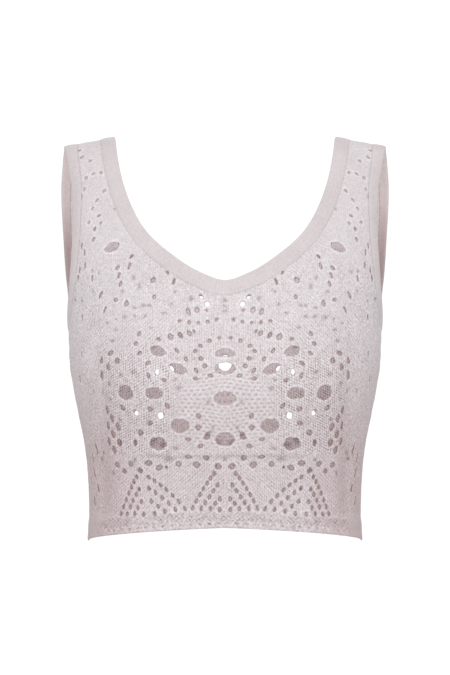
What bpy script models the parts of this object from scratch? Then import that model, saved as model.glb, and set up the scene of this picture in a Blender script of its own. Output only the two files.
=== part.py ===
"""Cropped sleeveless knit top in pointelle lace, filled out as on a general figure.

Metres, +Z up, the front faces -Y. The origin lies midway between the shoulders, at the
height where the straps lie on them. The form has two coordinates of its own: an angle round
the body from the centre line, and a run along the cloth from the front hem, over the
shoulders, to the back hem. Each piece is cut out flat in those, as a maker cuts a pattern,
and is then wrapped onto the form and given its wall.
"""

import math
from bisect import bisect_right
from collections import Counter, namedtuple

import bmesh
import bpy
from mathutils import Vector
from mathutils.geometry import delaunay_2d_cdt

MM = 0.001

# Walls and seams
PANEL_WALL = 1.6 * MM
BAND_WALL = 2.2 * MM
BAND_PROUD_AT_EDGE = 0.2 * MM
BAND_PROUD_IN_MIDDLE = 0.6 * MM
SEAM_GAP = 0.35 * MM
NECKBAND_WIDTH = 14 * MM
ARMHOLE_BAND_WIDTH = 11 * MM

# The form, from the front hem to the shoulder and down to the back hem, in mm:
# height, half width, depth from the middle plane (the back's is negative), middle plane
FRONT_SECTIONS = [
    (-366, 125.0, 90, 0),
    (-340, 123.6, 90.5, 0),
    (-310, 124.4, 93, 0),
    (-280, 127.2, 96.5, 0),
    (-250, 133.0, 99, 0),
    (-225, 137.8, 100, 0),
    (-208, 140.7, 100, 0),
    (-185, 142.0, 99.5, 0),
    (-163, 143.0, 99, 0),
    (-145, 145.5, 98.5, 0.5),
    (-120, 148.5, 96, 2),
    (-80, 150.5, 86, 5),
    (-40, 152.0, 64, 8),
    (-15, 153.5, 40, 9.5),
    (-3, 154.5, 18, 10),
    (0, 155.0, 0, 10),
]
BACK_SECTIONS = [
    (-3, 155.5, -18, 10),
    (-15, 158.0, -42, 9.5),
    (-40, 161.0, -68, 8),
    (-80, 160.0, -88, 5),
    (-120, 154.5, -96, 2),
    (-145, 147.5, -98, 0.5),
    (-163, 143.0, -97, 0),
    (-185, 142.0, -95.5, 0),
    (-208, 140.7, -93.5, 0),
    (-225, 137.8, -91, 0),
    (-250, 133.0, -88, 0),
    (-280, 127.2, -85, 0),
    (-310, 124.4, -83, 0),
    (-340, 123.6, -82.5, 0),
    (-366, 125.0, -83, 0),
]
DEPTH_SHARE_OF_RUN = 0.75
SECTION_SQUARENESS = 0.03

# The fullness of the bust, on the front alone
CUP_FULLNESS = 24 * MM
CUP_HEIGHT = -205 * MM
CUP_REACH_UP = 58 * MM
CUP_REACH_DOWN = 54 * MM
CUP_HALF_WIDTH = 112 * MM
CUP_PARTING = 0.16
CUP_PARTING_WIDTH = 30 * MM
CUP_FULL_AT_DEPTH = 60 * MM

# The shoulders fall away outwards
SHOULDER_SLOPE = 0.196
SHOULDER_MIDDLE = 123 * MM
SHOULDER_REACH = 120 * MM

# Free edges. Each row: angle from the centre line in degrees, run past the shoulder line
# in mm, negative on the front and positive on the back.
NECK_EDGE = [
    (0, -157.5),
    (7.4, -150.5),
    (16.3, -134.5),
    (25.1, -112.5),
    (30.2, -90),
    (33.6, -66.5),
    (35.7, -40),
    (36.7, -13),
    (37.5, 13),
    (37.4, 40),
    (36, 70),
    (33.5, 98),
    (29, 121),
    (22, 138.5),
    (12, 152.5),
    (0, 158.5),
]
ARMHOLE_EDGE = [
    (90, -192),
    (82, -186.5),
    (74.5, -175),
    (67.2, -152),
    (63.6, -127),
    (62.2, -95),
    (62.7, -69),
    (65, -48.5),
    (68, -24),
    (69.2, 0),
    (69, 20),
    (68, 45),
    (67.3, 75),
    (67, 100),
    (67.7, 126),
    (70, 150),
    (75, 172),
    (82, 186.5),
    (90, 193.4),
]
HEM_AT_SIDE = 2 * MM
FRONT_HEM_LIFT = 17.4 * MM
BACK_HEM_LIFT = 16 * MM
HEM_CURVE = 1.3

# How finely the flat pieces are divided
NECKBAND_COLUMNS = 108
ARMHOLE_COLUMNS = 52
EDGE_STEP = 10 * MM
CLOTH_STEP = 13 * MM
CLEAR_OF_CUTS = 5 * MM
FLAT_RADIUS = 125 * MM
LARGE_EYELET = 7.5
LARGE_SIDES = 10
SMALL_SIDES = 6

# Eyelets of the lace, in mm along the cloth. Across is from the centre line and up is from
# the hem line. The tilt is in degrees and lifts the outer end. Off the centre line each has
# its twin on the other side.
# across, up, width, height, tilt
FRONT_CENTRE_EYELETS = [
    (0, 175, 17.5, 7.5, 0),
    (0, 160.4, 17.5, 10.5, 0),
    (0, 134, 19, 12, 0),
    (0, 98, 16.5, 12.5, 0),
]
LARGE_ROUNDS_AND_LEAVES = [
    (59, 175.5, 14.5, 8.5, 20),
    (41, 160, 16.5, 8, 22),
    (90.5, 139, 15, 13.5, 0),
    (62.5, 138.5, 15, 10, 0),
    (39.5, 110, 16, 13, 0),
    (59.5, 94, 15, 12, 0),
]
SIDE_CLUSTER = [
    (107.5, 173.5, 7.5, 5, -20),
    (119, 167, 6.5, 6.5, 0),
    (99.5, 167, 6.5, 6, -15),
    (110.5, 161.5, 7, 7, 0),
    (119.5, 154, 6.5, 8.5, 0),
]
SPRAY_BETWEEN_ROUNDS = [
    (93.5, 125.5, 5.5, 6.5, -30),
    (80, 122, 5, 7, -25),
    (66, 124.5, 6, 5.5, -10),
    (50.5, 127.5, 4.6, 6.8, -28),
    (56.5, 119, 6.5, 7.5, 20),
    (66.5, 112, 6.5, 5, -25),
    (75.5, 103.5, 6, 6.5, 10),
    (81, 94.5, 4.8, 7, 10),
]
SPRAY_BESIDE_OVALS = [
    (23, 118.5, 5, 6, -20),
    (23.5, 108.5, 5.5, 6, 10),
    (15.5, 101, 5.5, 8, 20),
    (21.5, 92, 6, 4.5, -28),
    (32.5, 98, 5.6, 4.2, 0),
]
ROW_OVER_TRIANGLES = [
    (100, 74.5, 5.5, 6, -20),
    (92.5, 69, 6, 5.5, 0),
    (85.5, 75.5, 6, 6, -10),
    (76.5, 70, 7, 6, 0),
    (68.5, 76.5, 8, 6, 0),
    (58.5, 72.5, 7.5, 5.5, -25),
    (41, 76, 6, 6, 0),
    (25, 75.5, 7, 6.5, 0),
    (32, 82.5, 6.5, 4.5, 0),
    (16.5, 81.5, 6, 5.5, 30),
    (6, 74, 7, 6, 20),
]
ARCH_OVER_CENTRE = [
    (13.5, 184.5, 4.3, 4.3, -20),
    (26, 175.5, 4.7, 4.3, 0),
    (21, 169, 5, 4.4, 15),
    (17.5, 162.5, 5, 4.6, 10),
    (34, 168.5, 4.2, 5, -25),
    (25, 158.5, 4.2, 5.6, -35),
    (25.5, 151.5, 5.2, 4.2, 12),
]
ROW_UNDER_NECK = [
    (76.5, 190.5, 4.4, 5, 15),
    (47.5, 188, 5.6, 7.2, -20),
    (39, 189.5, 4.6, 7, -32),
    (31, 191, 4.6, 5.8, -32),
    (79.5, 182, 5.4, 4.6, -30),
]
NECK_CORNER = [
    (15.2, 216, 4.6, 5.6, -15),
    (24.5, 211.5, 5, 6.2, -10),
    (32, 210, 4.4, 7.4, -20),
]
BESIDE_LEAVES = [
    (68, 165, 6.4, 4.4, -32),
    (53.5, 150, 5.2, 4.4, 32),
    (67.5, 154, 4.2, 6, -14),
]
CHEST_EYELETS = [
    (102.5, 267.5, 15, 8, -22),
    (97, 249, 5, 4.4, -40),
    (63.5, 238, 6.3, 6.6, 20),
    (62.5, 223, 4.2, 5, 10),
    (115.5, 225, 4.4, 8, 30),
    (99.5, 220.5, 5.8, 4.4, 20),
    (88.5, 217.5, 6, 6.4, -10),
]
STRAP_EYELETS = [
    (131.5, 361.5, 4.5, 4.8, 0),
    (123.5, 355, 4.5, 4.5, 0),
    (128, 336, 4.5, 4.5, 0),
    (120.5, 339.5, 4.5, 4.2, -30),
    (113, 340.5, 4.2, 4.4, -30),
    (110, 321, 4.2, 4.8, 35),
    (117, 312, 4.3, 5.2, 30),
    (122, 304, 4.2, 4.6, 20),
    (115.5, 297, 5, 4.3, -20),
    (126.5, 291, 4.5, 4.3, 0),
    (120, 284.5, 4.3, 5, 0),
    (121.5, 275, 4.3, 5, 0),
]
BACK_CENTRE_EYELETS = [
    (0, 194, 17.5, 6.8, 0),
    (0, 162.8, 12, 15, 0),
    (0, 111, 18, 11, 0),
]
BACK_ROUNDS_AND_LEAVES = [
    (60, 198, 14.5, 8.5, 20),
    (38.5, 180.5, 13, 7, 22),
    (90.5, 159, 15, 13.5, 0),
    (61.5, 164, 12, 6.5, 0),
    (39.5, 130, 16, 13, 0),
    (58.5, 101, 12, 9, 0),
]
BACK_CLUSTER = [
    (107.5, 193.5, 7.5, 5, -20),
    (119, 187, 6.5, 6.5, 0),
    (99.5, 187, 6.5, 6, -15),
    (110.5, 181.5, 7, 7, 0),
    (119.5, 174, 6.5, 8.5, 0),
]
BACK_SPRAY = [
    (93.5, 145.5, 5.5, 6.5, -30),
    (80, 142, 5, 7, -25),
    (66, 144.5, 6, 5.5, -10),
    (50.5, 147.5, 4.6, 6.8, -28),
    (54.5, 140, 6, 6.5, 20),
    (78, 129, 6, 5, -25),
    (78, 120, 6, 6.5, 10),
    (78, 109.5, 4.8, 6.5, 10),
]
BACK_SMALL_EYELETS = [
    (22.5, 224.2, 4.3, 4.6, -25),
    (16.7, 218, 4.8, 6, 0),
    (51.1, 157.2, 5, 6.5, -30),
    (63.8, 155.5, 4.2, 5.4, 15),
    (84.3, 115.6, 4.2, 5, 20),
    (61.2, 113, 5, 6.5, 20),
]

# The lattice at each side: columns of eyelets, each leaning inwards as it goes down.
# across and up of its top eyelet, eyelets
FRONT_LATTICE = [
    (112.5, 123, 3),
    (105.5, 116, 3),
    (98.5, 108.5, 2),
]
BACK_LATTICE = [
    (112.5, 147, 3),
    (107, 140, 3),
]
LATTICE_PITCH = 14
LATTICE_LEAN = 1.2
LATTICE_EYELET = (5.2, 7.6)

# The legs of the triangles at the hem, each a row of eyelets:
# across and up at its top, across and up at its foot, eyelets, rise of its middle
FRONT_TRIANGLE_LEGS = [
    (9.5, 67.5, 28.5, 37, 7, 2),
    (80, 64, 96, 30.5, 7, 2),
    (68.5, 64, 35.5, 36.5, 7, 2.7),
]
BACK_TRIANGLE_LEGS = [
    (21, 59, 35, 36, 5, 0),
    (59, 56, 41, 41, 4, 0),
    (106, 54, 114, 30, 5, 0),
]
LEG_EYELET = (4.3, 4.8)

Eyelet = namedtuple("Eyelet", "across up width height tilt")


class SmoothTable:
    """Rows of numbers read smoothly at any place, through slopes set by each row's neighbours."""

    def __init__(self, places, rows):
        self.places = places
        self.rows = rows
        self.slopes = [self.slope(index) for index in range(len(rows))]

    def slope(self, index):
        before = max(index - 1, 0)
        after = min(index + 1, len(self.rows) - 1)
        if before == index or after == index:
            return self.rise(before, after)
        span_before = self.places[index] - self.places[before]
        span_after = self.places[after] - self.places[index]
        whole = span_before + span_after
        return [
            (low * span_after + high * span_before) / whole
            for low, high in zip(self.rise(before, index), self.rise(index, after))
        ]

    def rise(self, start, end):
        span = self.places[end] - self.places[start]
        return [(b - a) / span for a, b in zip(self.rows[start], self.rows[end])]

    def at(self, place):
        place = min(max(place, self.places[0]), self.places[-1])
        index = min(bisect_right(self.places, place), len(self.places) - 1) - 1
        span = self.places[index + 1] - self.places[index]
        share = (place - self.places[index]) / span
        start_weight = (1 + 2 * share) * (1 - share) ** 2
        end_weight = share * share * (3 - 2 * share)
        start_slope = share * (1 - share) ** 2 * span
        end_slope = share * share * (share - 1) * span
        return [
            start * start_weight + end * end_weight + leaving * start_slope + arriving * end_slope
            for start, end, leaving, arriving in zip(
                self.rows[index], self.rows[index + 1], self.slopes[index], self.slopes[index + 1]
            )
        ]


def form_table():
    """The form's sections in metres, each at its run along the cloth from the front hem."""
    rows = [[value * MM for value in row] for row in FRONT_SECTIONS + BACK_SECTIONS]
    runs = [0.0]
    for before, after in zip(rows, rows[1:]):
        climb = after[0] - before[0]
        depth = DEPTH_SHARE_OF_RUN * (after[2] - before[2])
        runs.append(runs[-1] + math.hypot(climb, depth))
    return SmoothTable(runs, rows)


FORM = form_table()
SHOULDER_RUN = FORM.places[len(FRONT_SECTIONS) - 1]
BACK_HEM_RUN = FORM.places[-1]


def cup_swell(x, z, depth):
    """How far the bust stands out of the plain section, where that is this deep in front."""
    reach = CUP_REACH_UP if z > CUP_HEIGHT else CUP_REACH_DOWN
    rise = math.exp(-(((z - CUP_HEIGHT) / reach) ** 2))
    spread = 1 / (1 + (abs(x) / CUP_HALF_WIDTH) ** 6)
    parting = 1 - CUP_PARTING * math.exp(-((x / CUP_PARTING_WIDTH) ** 2))
    share = min(max(depth / CUP_FULL_AT_DEPTH, 0), 1)
    front_share = share * share * (3 - 2 * share)
    return CUP_FULLNESS * rise * spread * parting * front_share


def cloth_point(angle, run):
    """The cloth's outer face at an angle round the body and a run along the cloth."""
    height, half_width, depth, middle = FORM.at(run)
    squareness = SECTION_SQUARENESS
    round_x = (math.sin(angle) + squareness * math.sin(3 * angle)) / (1 - squareness)
    round_y = (math.cos(angle) - squareness * math.cos(3 * angle)) / (1 - squareness)
    x = half_width * round_x
    y = middle - depth * round_y - cup_swell(x, height, depth * round_y)
    shoulder_share = min(max(1 - abs(run - SHOULDER_RUN) / SHOULDER_REACH, 0), 1) ** 2
    z = height - SHOULDER_SLOPE * (abs(x) - SHOULDER_MIDDLE) * shoulder_share
    return Vector((x, y, z))


def cloth_slopes(angle, run):
    """How the point moves for each radian of angle and each metre of run."""
    step = 1e-4
    along_angle = (cloth_point(angle + step, run) - cloth_point(angle - step, run)) / (2 * step)
    low = max(run - step, 0)
    high = min(run + step, BACK_HEM_RUN)
    along_run = (cloth_point(angle, high) - cloth_point(angle, low)) / (high - low)
    return along_angle, along_run


def cloth_normal(angle, run):
    along_angle, along_run = cloth_slopes(angle, run)
    return along_angle.cross(along_run).normalized()


def moved_on_cloth(angle, run, step):
    """The angle and run reached by a small step given in space."""
    along_angle, along_run = cloth_slopes(angle, run)
    aa = along_angle.dot(along_angle)
    rr = along_run.dot(along_run)
    ar = along_angle.dot(along_run)
    step_a = along_angle.dot(step)
    step_r = along_run.dot(step)
    determinant = aa * rr - ar * ar
    turn = (step_a * rr - step_r * ar) / determinant
    climb = (step_r * aa - step_a * ar) / determinant
    return angle + turn, run + climb


def angle_across(across, run):
    """The angle that lies this far from the centre line along the cloth, at one run."""
    angle = 0.0
    done = 0.0
    turn = math.radians(1.5)
    while True:
        stretch = (cloth_point(angle + turn, run) - cloth_point(angle, run)).length
        if done + stretch >= across:
            return angle + turn * (across - done) / stretch
        angle += turn
        done += stretch


def edge_table(rows, extra_before, extra_after):
    """A smooth free edge, with one more row past each end to set the slopes there."""
    whole = [extra_before] + rows + [extra_after]
    flat = [[math.radians(angle), SHOULDER_RUN + run * MM] for angle, run in whole]
    points = [cloth_point(angle, run) for angle, run in flat]
    places = [0.0]
    for before, after in zip(points, points[1:]):
        places.append(places[-1] + (after - before).length)
    return SmoothTable(places, flat)


def sampled_edge(table, shares, side):
    """Points along a free edge, each with the direction in space away from the opening."""
    start = table.places[1]
    end = table.places[-2]
    found = []
    for share in shares:
        place = start + (end - start) * share
        angle, run = table.at(place)
        ahead = cloth_point(*table.at(place + 0.5 * MM))
        behind = cloth_point(*table.at(place - 0.5 * MM))
        tangent = (ahead - behind).normalized()
        away = tangent.cross(cloth_normal(angle, run)) * side
        found.append((angle, run, away.normalized()))
    return found


def offset_row(samples, distance):
    """The samples moved away from the opening, in two halves so that they follow the cloth."""
    row = []
    for angle, run, away in samples:
        place = (angle, run)
        for _ in range(2):
            normal = cloth_normal(*place)
            level = (away - normal * away.dot(normal)).normalized()
            place = moved_on_cloth(*place, level * (distance / 2))
        row.append(place)
    return row


def neck_samples():
    """The neck's free edge, as a whole ring from the centre front."""
    first = NECK_EDGE[1]
    last = NECK_EDGE[-2]
    table = edge_table(NECK_EDGE, (-first[0], first[1]), (-last[0], last[1]))
    half = NECKBAND_COLUMNS // 2
    left = sampled_edge(table, [index / half for index in range(half + 1)], 1)
    right = [
        (-angle, run, Vector((-away.x, away.y, away.z))) for angle, run, away in left[-2:0:-1]
    ]
    return left + right


def armhole_samples():
    """The left armhole's free edge, from the side seam up the front and down the back."""
    first = ARMHOLE_EDGE[1]
    last = ARMHOLE_EDGE[-2]
    past_first = (180 - first[0], first[1])
    past_last = (180 - last[0], last[1])
    table = edge_table(ARMHOLE_EDGE, past_first, past_last)
    return sampled_edge(table, [index / ARMHOLE_COLUMNS for index in range(ARMHOLE_COLUMNS + 1)], -1)


NECK_SAMPLES = neck_samples()
ARMHOLE_SAMPLES = armhole_samples()


def twin(points):
    """The same flat points on the other side of the centre line."""
    return [(-angle, run) for angle, run in points]


def kept_part(points, keep):
    """The stretch of a line on the positive side of a measure, cut exactly where it is zero."""
    kept = []
    for before, after in zip(points, points[1:]):
        here = keep(before)
        there = keep(after)
        if here > 0:
            kept.append(before)
        if (here > 0) != (there > 0):
            share = here / (here - there)
            kept.append(tuple(a + (b - a) * share for a, b in zip(before, after)))
    if keep(points[-1]) > 0:
        kept.append(points[-1])
    return kept


def evenly(start, end, step):
    """Values between two ends, the ends left out, about a step apart."""
    count = max(round(abs(end - start) / step), 1)
    return [start + (end - start) * index / count for index in range(1, count)]


def panel_outline(is_front):
    """The cut edge of the front or the back: its left half, then its right half."""
    shoulder = SHOULDER_RUN - SEAM_GAP / 2 if is_front else SHOULDER_RUN + SEAM_GAP / 2
    way = 1 if is_front else -1
    neck_seam = offset_row(NECK_SAMPLES[: NECKBAND_COLUMNS // 2 + 1], NECKBAND_WIDTH + SEAM_GAP)
    armhole_seam = offset_row(ARMHOLE_SAMPLES, ARMHOLE_BAND_WIDTH + SEAM_GAP)
    if not is_front:
        neck_seam.reverse()
        armhole_seam.reverse()
    neck = kept_part(neck_seam, lambda place: (shoulder - place[1]) * way)
    armhole = kept_part(armhole_seam, lambda place: (shoulder - place[1]) * way)
    around = cloth_slopes(math.radians(90), armhole[0][1])[0].length
    side = math.radians(90) - SEAM_GAP / 2 / around
    armhole = kept_part(armhole, lambda place: side - place[0])
    armhole.reverse()
    shoulder_line = [
        (angle, shoulder)
        for angle in evenly(neck[-1][0], armhole[0][0], EDGE_STEP / FLAT_RADIUS)
    ]
    hem = hem_run(side, is_front)
    side_seam = [(side, run) for run in evenly(armhole[-1][1], hem, EDGE_STEP)]
    hem_edge = [
        (angle, hem_run(angle, is_front)) for angle in evenly(side, 0, EDGE_STEP / FLAT_RADIUS)
    ]
    left = neck + shoulder_line + armhole + side_seam + [(side, hem)] + hem_edge
    left.append((0.0, hem_run(0, is_front)))
    return left + twin(left[-2:0:-1])


def hem_run(angle, is_front):
    """The run of the arched hem edge at an angle."""
    lift = FRONT_HEM_LIFT if is_front else BACK_HEM_LIFT
    rise = HEM_AT_SIDE + lift * (1 - (abs(angle) / math.radians(90)) ** HEM_CURVE)
    return rise if is_front else BACK_HEM_RUN - rise


def lattice_eyelets(columns):
    for across, up, count in columns:
        for index in range(count):
            place = (across - LATTICE_LEAN * index, up - LATTICE_PITCH * index)
            yield (*place, *LATTICE_EYELET, 0)


def leg_eyelets(legs):
    for top_across, top_up, foot_across, foot_up, count, bow in legs:
        for index in range(count):
            share = index / (count - 1)
            across = top_across + (foot_across - top_across) * share
            up = top_up + (foot_up - top_up) * share + bow * 4 * share * (1 - share)
            yield (across, up, *LEG_EYELET, 0)


def panel_eyelets(is_front):
    """The eyelets on one panel's centre line, and those that have a twin."""
    if is_front:
        centre = FRONT_CENTRE_EYELETS
        paired = LARGE_ROUNDS_AND_LEAVES + SIDE_CLUSTER + SPRAY_BETWEEN_ROUNDS
        paired = paired + SPRAY_BESIDE_OVALS + ROW_OVER_TRIANGLES + ARCH_OVER_CENTRE
        paired = paired + ROW_UNDER_NECK + NECK_CORNER + BESIDE_LEAVES
        paired = paired + CHEST_EYELETS + STRAP_EYELETS
        paired = paired + list(lattice_eyelets(FRONT_LATTICE)) + list(leg_eyelets(FRONT_TRIANGLE_LEGS))
    else:
        centre = BACK_CENTRE_EYELETS
        paired = BACK_ROUNDS_AND_LEAVES + BACK_CLUSTER + BACK_SPRAY + BACK_SMALL_EYELETS
        paired = paired + list(lattice_eyelets(BACK_LATTICE)) + list(leg_eyelets(BACK_TRIANGLE_LEGS))
    return [Eyelet(*row) for row in centre], [Eyelet(*row) for row in paired]


def eyelet_outline(eyelet, is_front):
    """The rim of an eyelet, as an oval of few sides on the flat piece."""
    run = eyelet.up * MM if is_front else BACK_HEM_RUN - eyelet.up * MM
    angle = angle_across(eyelet.across * MM, run) if eyelet.across else 0.0
    sides = LARGE_SIDES if max(eyelet.width, eyelet.height) >= LARGE_EYELET else SMALL_SIDES
    tilt = math.radians(eyelet.tilt)
    along_angle, along_run = cloth_slopes(angle, run)
    outward = along_angle.normalized()
    upward = (along_run - outward * along_run.dot(outward)).normalized()
    if not is_front:
        upward.negate()
    rim = []
    for index in range(sides):
        turn = 2 * math.pi * index / sides
        wide = eyelet.width / 2 * MM * math.cos(turn)
        tall = eyelet.height / 2 * MM * math.sin(turn)
        out = wide * math.cos(tilt) - tall * math.sin(tilt)
        rise = wide * math.sin(tilt) + tall * math.cos(tilt)
        rim.append(moved_on_cloth(angle, run, outward * out + upward * rise))
    return rim


def flat_place(place):
    return Vector((place[0] * FLAT_RADIUS, place[1]))


def loose_places(loops):
    """Evenly staggered places inside the cloth, clear of every cut edge."""
    cuts = [flat_place(place) for loop in loops for place in loop]
    columns = math.ceil(math.radians(90) * FLAT_RADIUS / CLOTH_STEP)
    rows = math.ceil(BACK_HEM_RUN / CLOTH_STEP)
    found = []
    for row in range(rows):
        for column in range(-columns, columns + 1):
            across = (column + 0.5 * (row % 2)) * CLOTH_STEP
            place = Vector((across, row * CLOTH_STEP))
            if all((place - cut).length > CLEAR_OF_CUTS for cut in cuts):
                found.append(place)
    return found


def counterclockwise(loop):
    """The loop of flat points in the turning sense that the triangulation expects."""
    area = sum(a[0] * b[1] - b[0] * a[1] for a, b in zip(loop, loop[1:] + loop[:1]))
    return loop if area > 0 else loop[::-1]


def cut_panel(is_front):
    """Flat points and triangles of the front or the back, with its eyelets cut out."""
    outline = panel_outline(is_front)
    centre, paired = panel_eyelets(is_front)
    rims = [eyelet_outline(eyelet, is_front) for eyelet in centre]
    for eyelet in paired:
        rim = eyelet_outline(eyelet, is_front)
        rims.append(rim)
        rims.append(twin(rim))
    loops = [counterclockwise(loop) for loop in [outline] + rims]
    points = []
    faces = []
    for loop in loops:
        faces.append(list(range(len(points), len(points) + len(loop))))
        points += [flat_place(place) for place in loop]
    points += loose_places(loops)
    cloth = delaunay_2d_cdt(points, [], faces, 1, 1e-7, True)
    triangles = [face for face, within in zip(cloth[2], cloth[5]) if within == [0]]
    used = sorted({index for triangle in triangles for index in triangle})
    new_index = {old: new for new, old in enumerate(used)}
    places = [(cloth[0][index].x / FLAT_RADIUS, cloth[0][index].y) for index in used]
    return places, [[new_index[index] for index in triangle] for triangle in triangles]


def cut_band(samples, width, columns):
    """Flat points and faces of a band in a ring: its free edge, its middle and its seam edge."""
    rows = [offset_row(samples[:columns], width * share) for share in (0, 0.5, 1)]
    places = [place for row in rows for place in row]
    faces = []
    for row in range(len(rows) - 1):
        for column in range(columns):
            after = (column + 1) % columns
            low = row * columns
            high = low + columns
            faces.append([low + column, low + after, high + after, high + column])
    proud = [BAND_PROUD_AT_EDGE] * columns + [BAND_PROUD_IN_MIDDLE] * columns
    proud += [BAND_PROUD_AT_EDGE] * columns
    return places, faces, proud


def yarn(name, colour, roughness):
    """A plain yarn finish of its own for one piece."""
    material = bpy.data.materials.new(name)
    material.use_nodes = True
    shader = material.node_tree.nodes["Principled BSDF"]
    shader.inputs["Base Color"].default_value = (*colour, 1)
    shader.inputs["Roughness"].default_value = roughness
    material.diffuse_color = (*colour, 1)
    return material


def wrap(name, places, faces, proud, wall, material, collection):
    """Wraps a flat piece onto the form as one closed wall, and adds it to the collection."""
    mesh = bmesh.new()
    outer = []
    inner = []
    for (angle, run), height in zip(places, proud):
        point = cloth_point(angle, run)
        normal = cloth_normal(angle, run)
        outer.append(mesh.verts.new(point + normal * height))
        inner.append(mesh.verts.new(point + normal * (height - wall)))
    uses = Counter()
    for face in faces:
        mesh.faces.new([outer[index] for index in face])
        mesh.faces.new([inner[index] for index in reversed(face)])
        for start, end in zip(face, face[1:] + face[:1]):
            uses[frozenset((start, end))] += 1
    for face in faces:
        for start, end in zip(face, face[1:] + face[:1]):
            if uses[frozenset((start, end))] == 1:
                mesh.faces.new([outer[end], outer[start], inner[start], inner[end]])
    bmesh.ops.recalc_face_normals(mesh, faces=mesh.faces)
    data = bpy.data.meshes.new(name)
    mesh.to_mesh(data)
    mesh.free()
    data.materials.append(material)
    piece = bpy.data.objects.new(name, data)
    collection.objects.link(piece)
    return piece


def make_panel(name, is_front, collection):
    places, faces = cut_panel(is_front)
    material = yarn(f"{name}_yarn", (0.68, 0.63, 0.65), 0.9)
    wrap(name, places, faces, [0.0] * len(places), PANEL_WALL, material, collection)


def make_neckband(collection):
    places, faces, proud = cut_band(NECK_SAMPLES, NECKBAND_WIDTH, NECKBAND_COLUMNS)
    material = yarn("neckband_yarn", (0.72, 0.66, 0.67), 0.85)
    wrap("neckband", places, faces, proud, BAND_WALL, material, collection)


def make_armhole_band(name, is_left, collection):
    places, faces, proud = cut_band(ARMHOLE_SAMPLES, ARMHOLE_BAND_WIDTH, ARMHOLE_COLUMNS)
    if not is_left:
        places = twin(places)
        faces = [face[::-1] for face in faces]
    material = yarn(f"{name}_yarn", (0.71, 0.65, 0.67), 0.85)
    wrap(name, places, faces, proud, BAND_WALL, material, collection)


def main():
    for old in list(bpy.data.objects):
        bpy.data.objects.remove(old)
    collection = bpy.data.collections.new("knit_top")
    bpy.context.scene.collection.children.link(collection)
    make_panel("front_panel", True, collection)
    make_panel("back_panel", False, collection)
    make_neckband(collection)
    make_armhole_band("armhole_band_left", True, collection)
    make_armhole_band("armhole_band_right", False, collection)


main()
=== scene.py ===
"""Looks of a cropped sleeveless knit top in pointelle lace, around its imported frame.

Metres, +Z up, the front faces -Y. Every piece lies on one form with two coordinates of its
own: an angle round the body from the centre line, and a run along the cloth from the front
hem, over the shoulders, to the back hem.
"""

import math
from collections import namedtuple
from types import SimpleNamespace

import bmesh
import bpy
import numpy as np
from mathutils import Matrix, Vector, noise
from mathutils.geometry import delaunay_2d_cdt
from mathutils.kdtree import KDTree


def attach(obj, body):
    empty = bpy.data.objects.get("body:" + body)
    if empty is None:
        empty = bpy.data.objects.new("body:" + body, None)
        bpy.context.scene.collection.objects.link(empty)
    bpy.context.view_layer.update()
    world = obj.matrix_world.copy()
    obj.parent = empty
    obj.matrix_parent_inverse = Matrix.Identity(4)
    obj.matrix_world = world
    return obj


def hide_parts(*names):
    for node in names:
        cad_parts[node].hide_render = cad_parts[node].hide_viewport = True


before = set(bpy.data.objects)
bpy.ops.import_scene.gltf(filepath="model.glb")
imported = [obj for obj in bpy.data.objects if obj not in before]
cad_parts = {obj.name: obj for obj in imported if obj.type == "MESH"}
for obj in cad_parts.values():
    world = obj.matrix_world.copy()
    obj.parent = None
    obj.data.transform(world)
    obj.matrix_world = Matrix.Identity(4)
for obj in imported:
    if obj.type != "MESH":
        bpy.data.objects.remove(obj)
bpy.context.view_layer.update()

MM = 0.001

# Walls and seams. The yarns of two pieces all but meet, where the solids leave 0.35 mm.
PANEL_WALL = 1.6 * MM
BAND_WALL = 2.2 * MM
SEAM_GAP = 0.03 * MM
NECKBAND_WIDTH = 14 * MM
ARMHOLE_BAND_WIDTH = 11 * MM

# The form, from the front hem to the shoulder and down to the back hem, in mm:
# height, half width, depth from the middle plane (the back's is negative), middle plane
FRONT_SECTIONS = [
    (-366, 125, 90, 0), (-340, 123.6, 90.5, 0), (-310, 124.4, 93, 0), (-280, 127.2, 96.5, 0),
    (-250, 133, 99, 0), (-225, 137.8, 100, 0), (-208, 140.7, 100, 0), (-185, 142, 99.5, 0),
    (-163, 143, 99, 0), (-145, 145.5, 98.5, 0.5), (-120, 148.5, 96, 2), (-80, 150.5, 86, 5),
    (-40, 152, 64, 8), (-15, 153.5, 40, 9.5), (-3, 154.5, 18, 10), (0, 155, 0, 10),
]
BACK_SECTIONS = [
    (-3, 155.5, -18, 10), (-15, 158, -42, 9.5), (-40, 161, -68, 8), (-80, 160, -88, 5),
    (-120, 154.5, -96, 2), (-145, 147.5, -98, 0.5), (-163, 143, -97, 0), (-185, 142, -95.5, 0),
    (-208, 140.7, -93.5, 0), (-225, 137.8, -91, 0), (-250, 133, -88, 0), (-280, 127.2, -85, 0),
    (-310, 124.4, -83, 0), (-340, 123.6, -82.5, 0), (-366, 125, -83, 0),
]
DEPTH_SHARE_OF_RUN = 0.75
SECTION_SQUARENESS = 0.03
CUP_FULLNESS = 24 * MM
CUP_HEIGHT = -205 * MM
CUP_REACH_UP = 58 * MM
CUP_REACH_DOWN = 54 * MM
CUP_HALF_WIDTH = 112 * MM
CUP_PARTING = 0.16
CUP_PARTING_WIDTH = 30 * MM
CUP_FULL_AT_DEPTH = 60 * MM
SHOULDER_SLOPE = 0.196
SHOULDER_MIDDLE = 123 * MM
SHOULDER_REACH = 120 * MM

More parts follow.
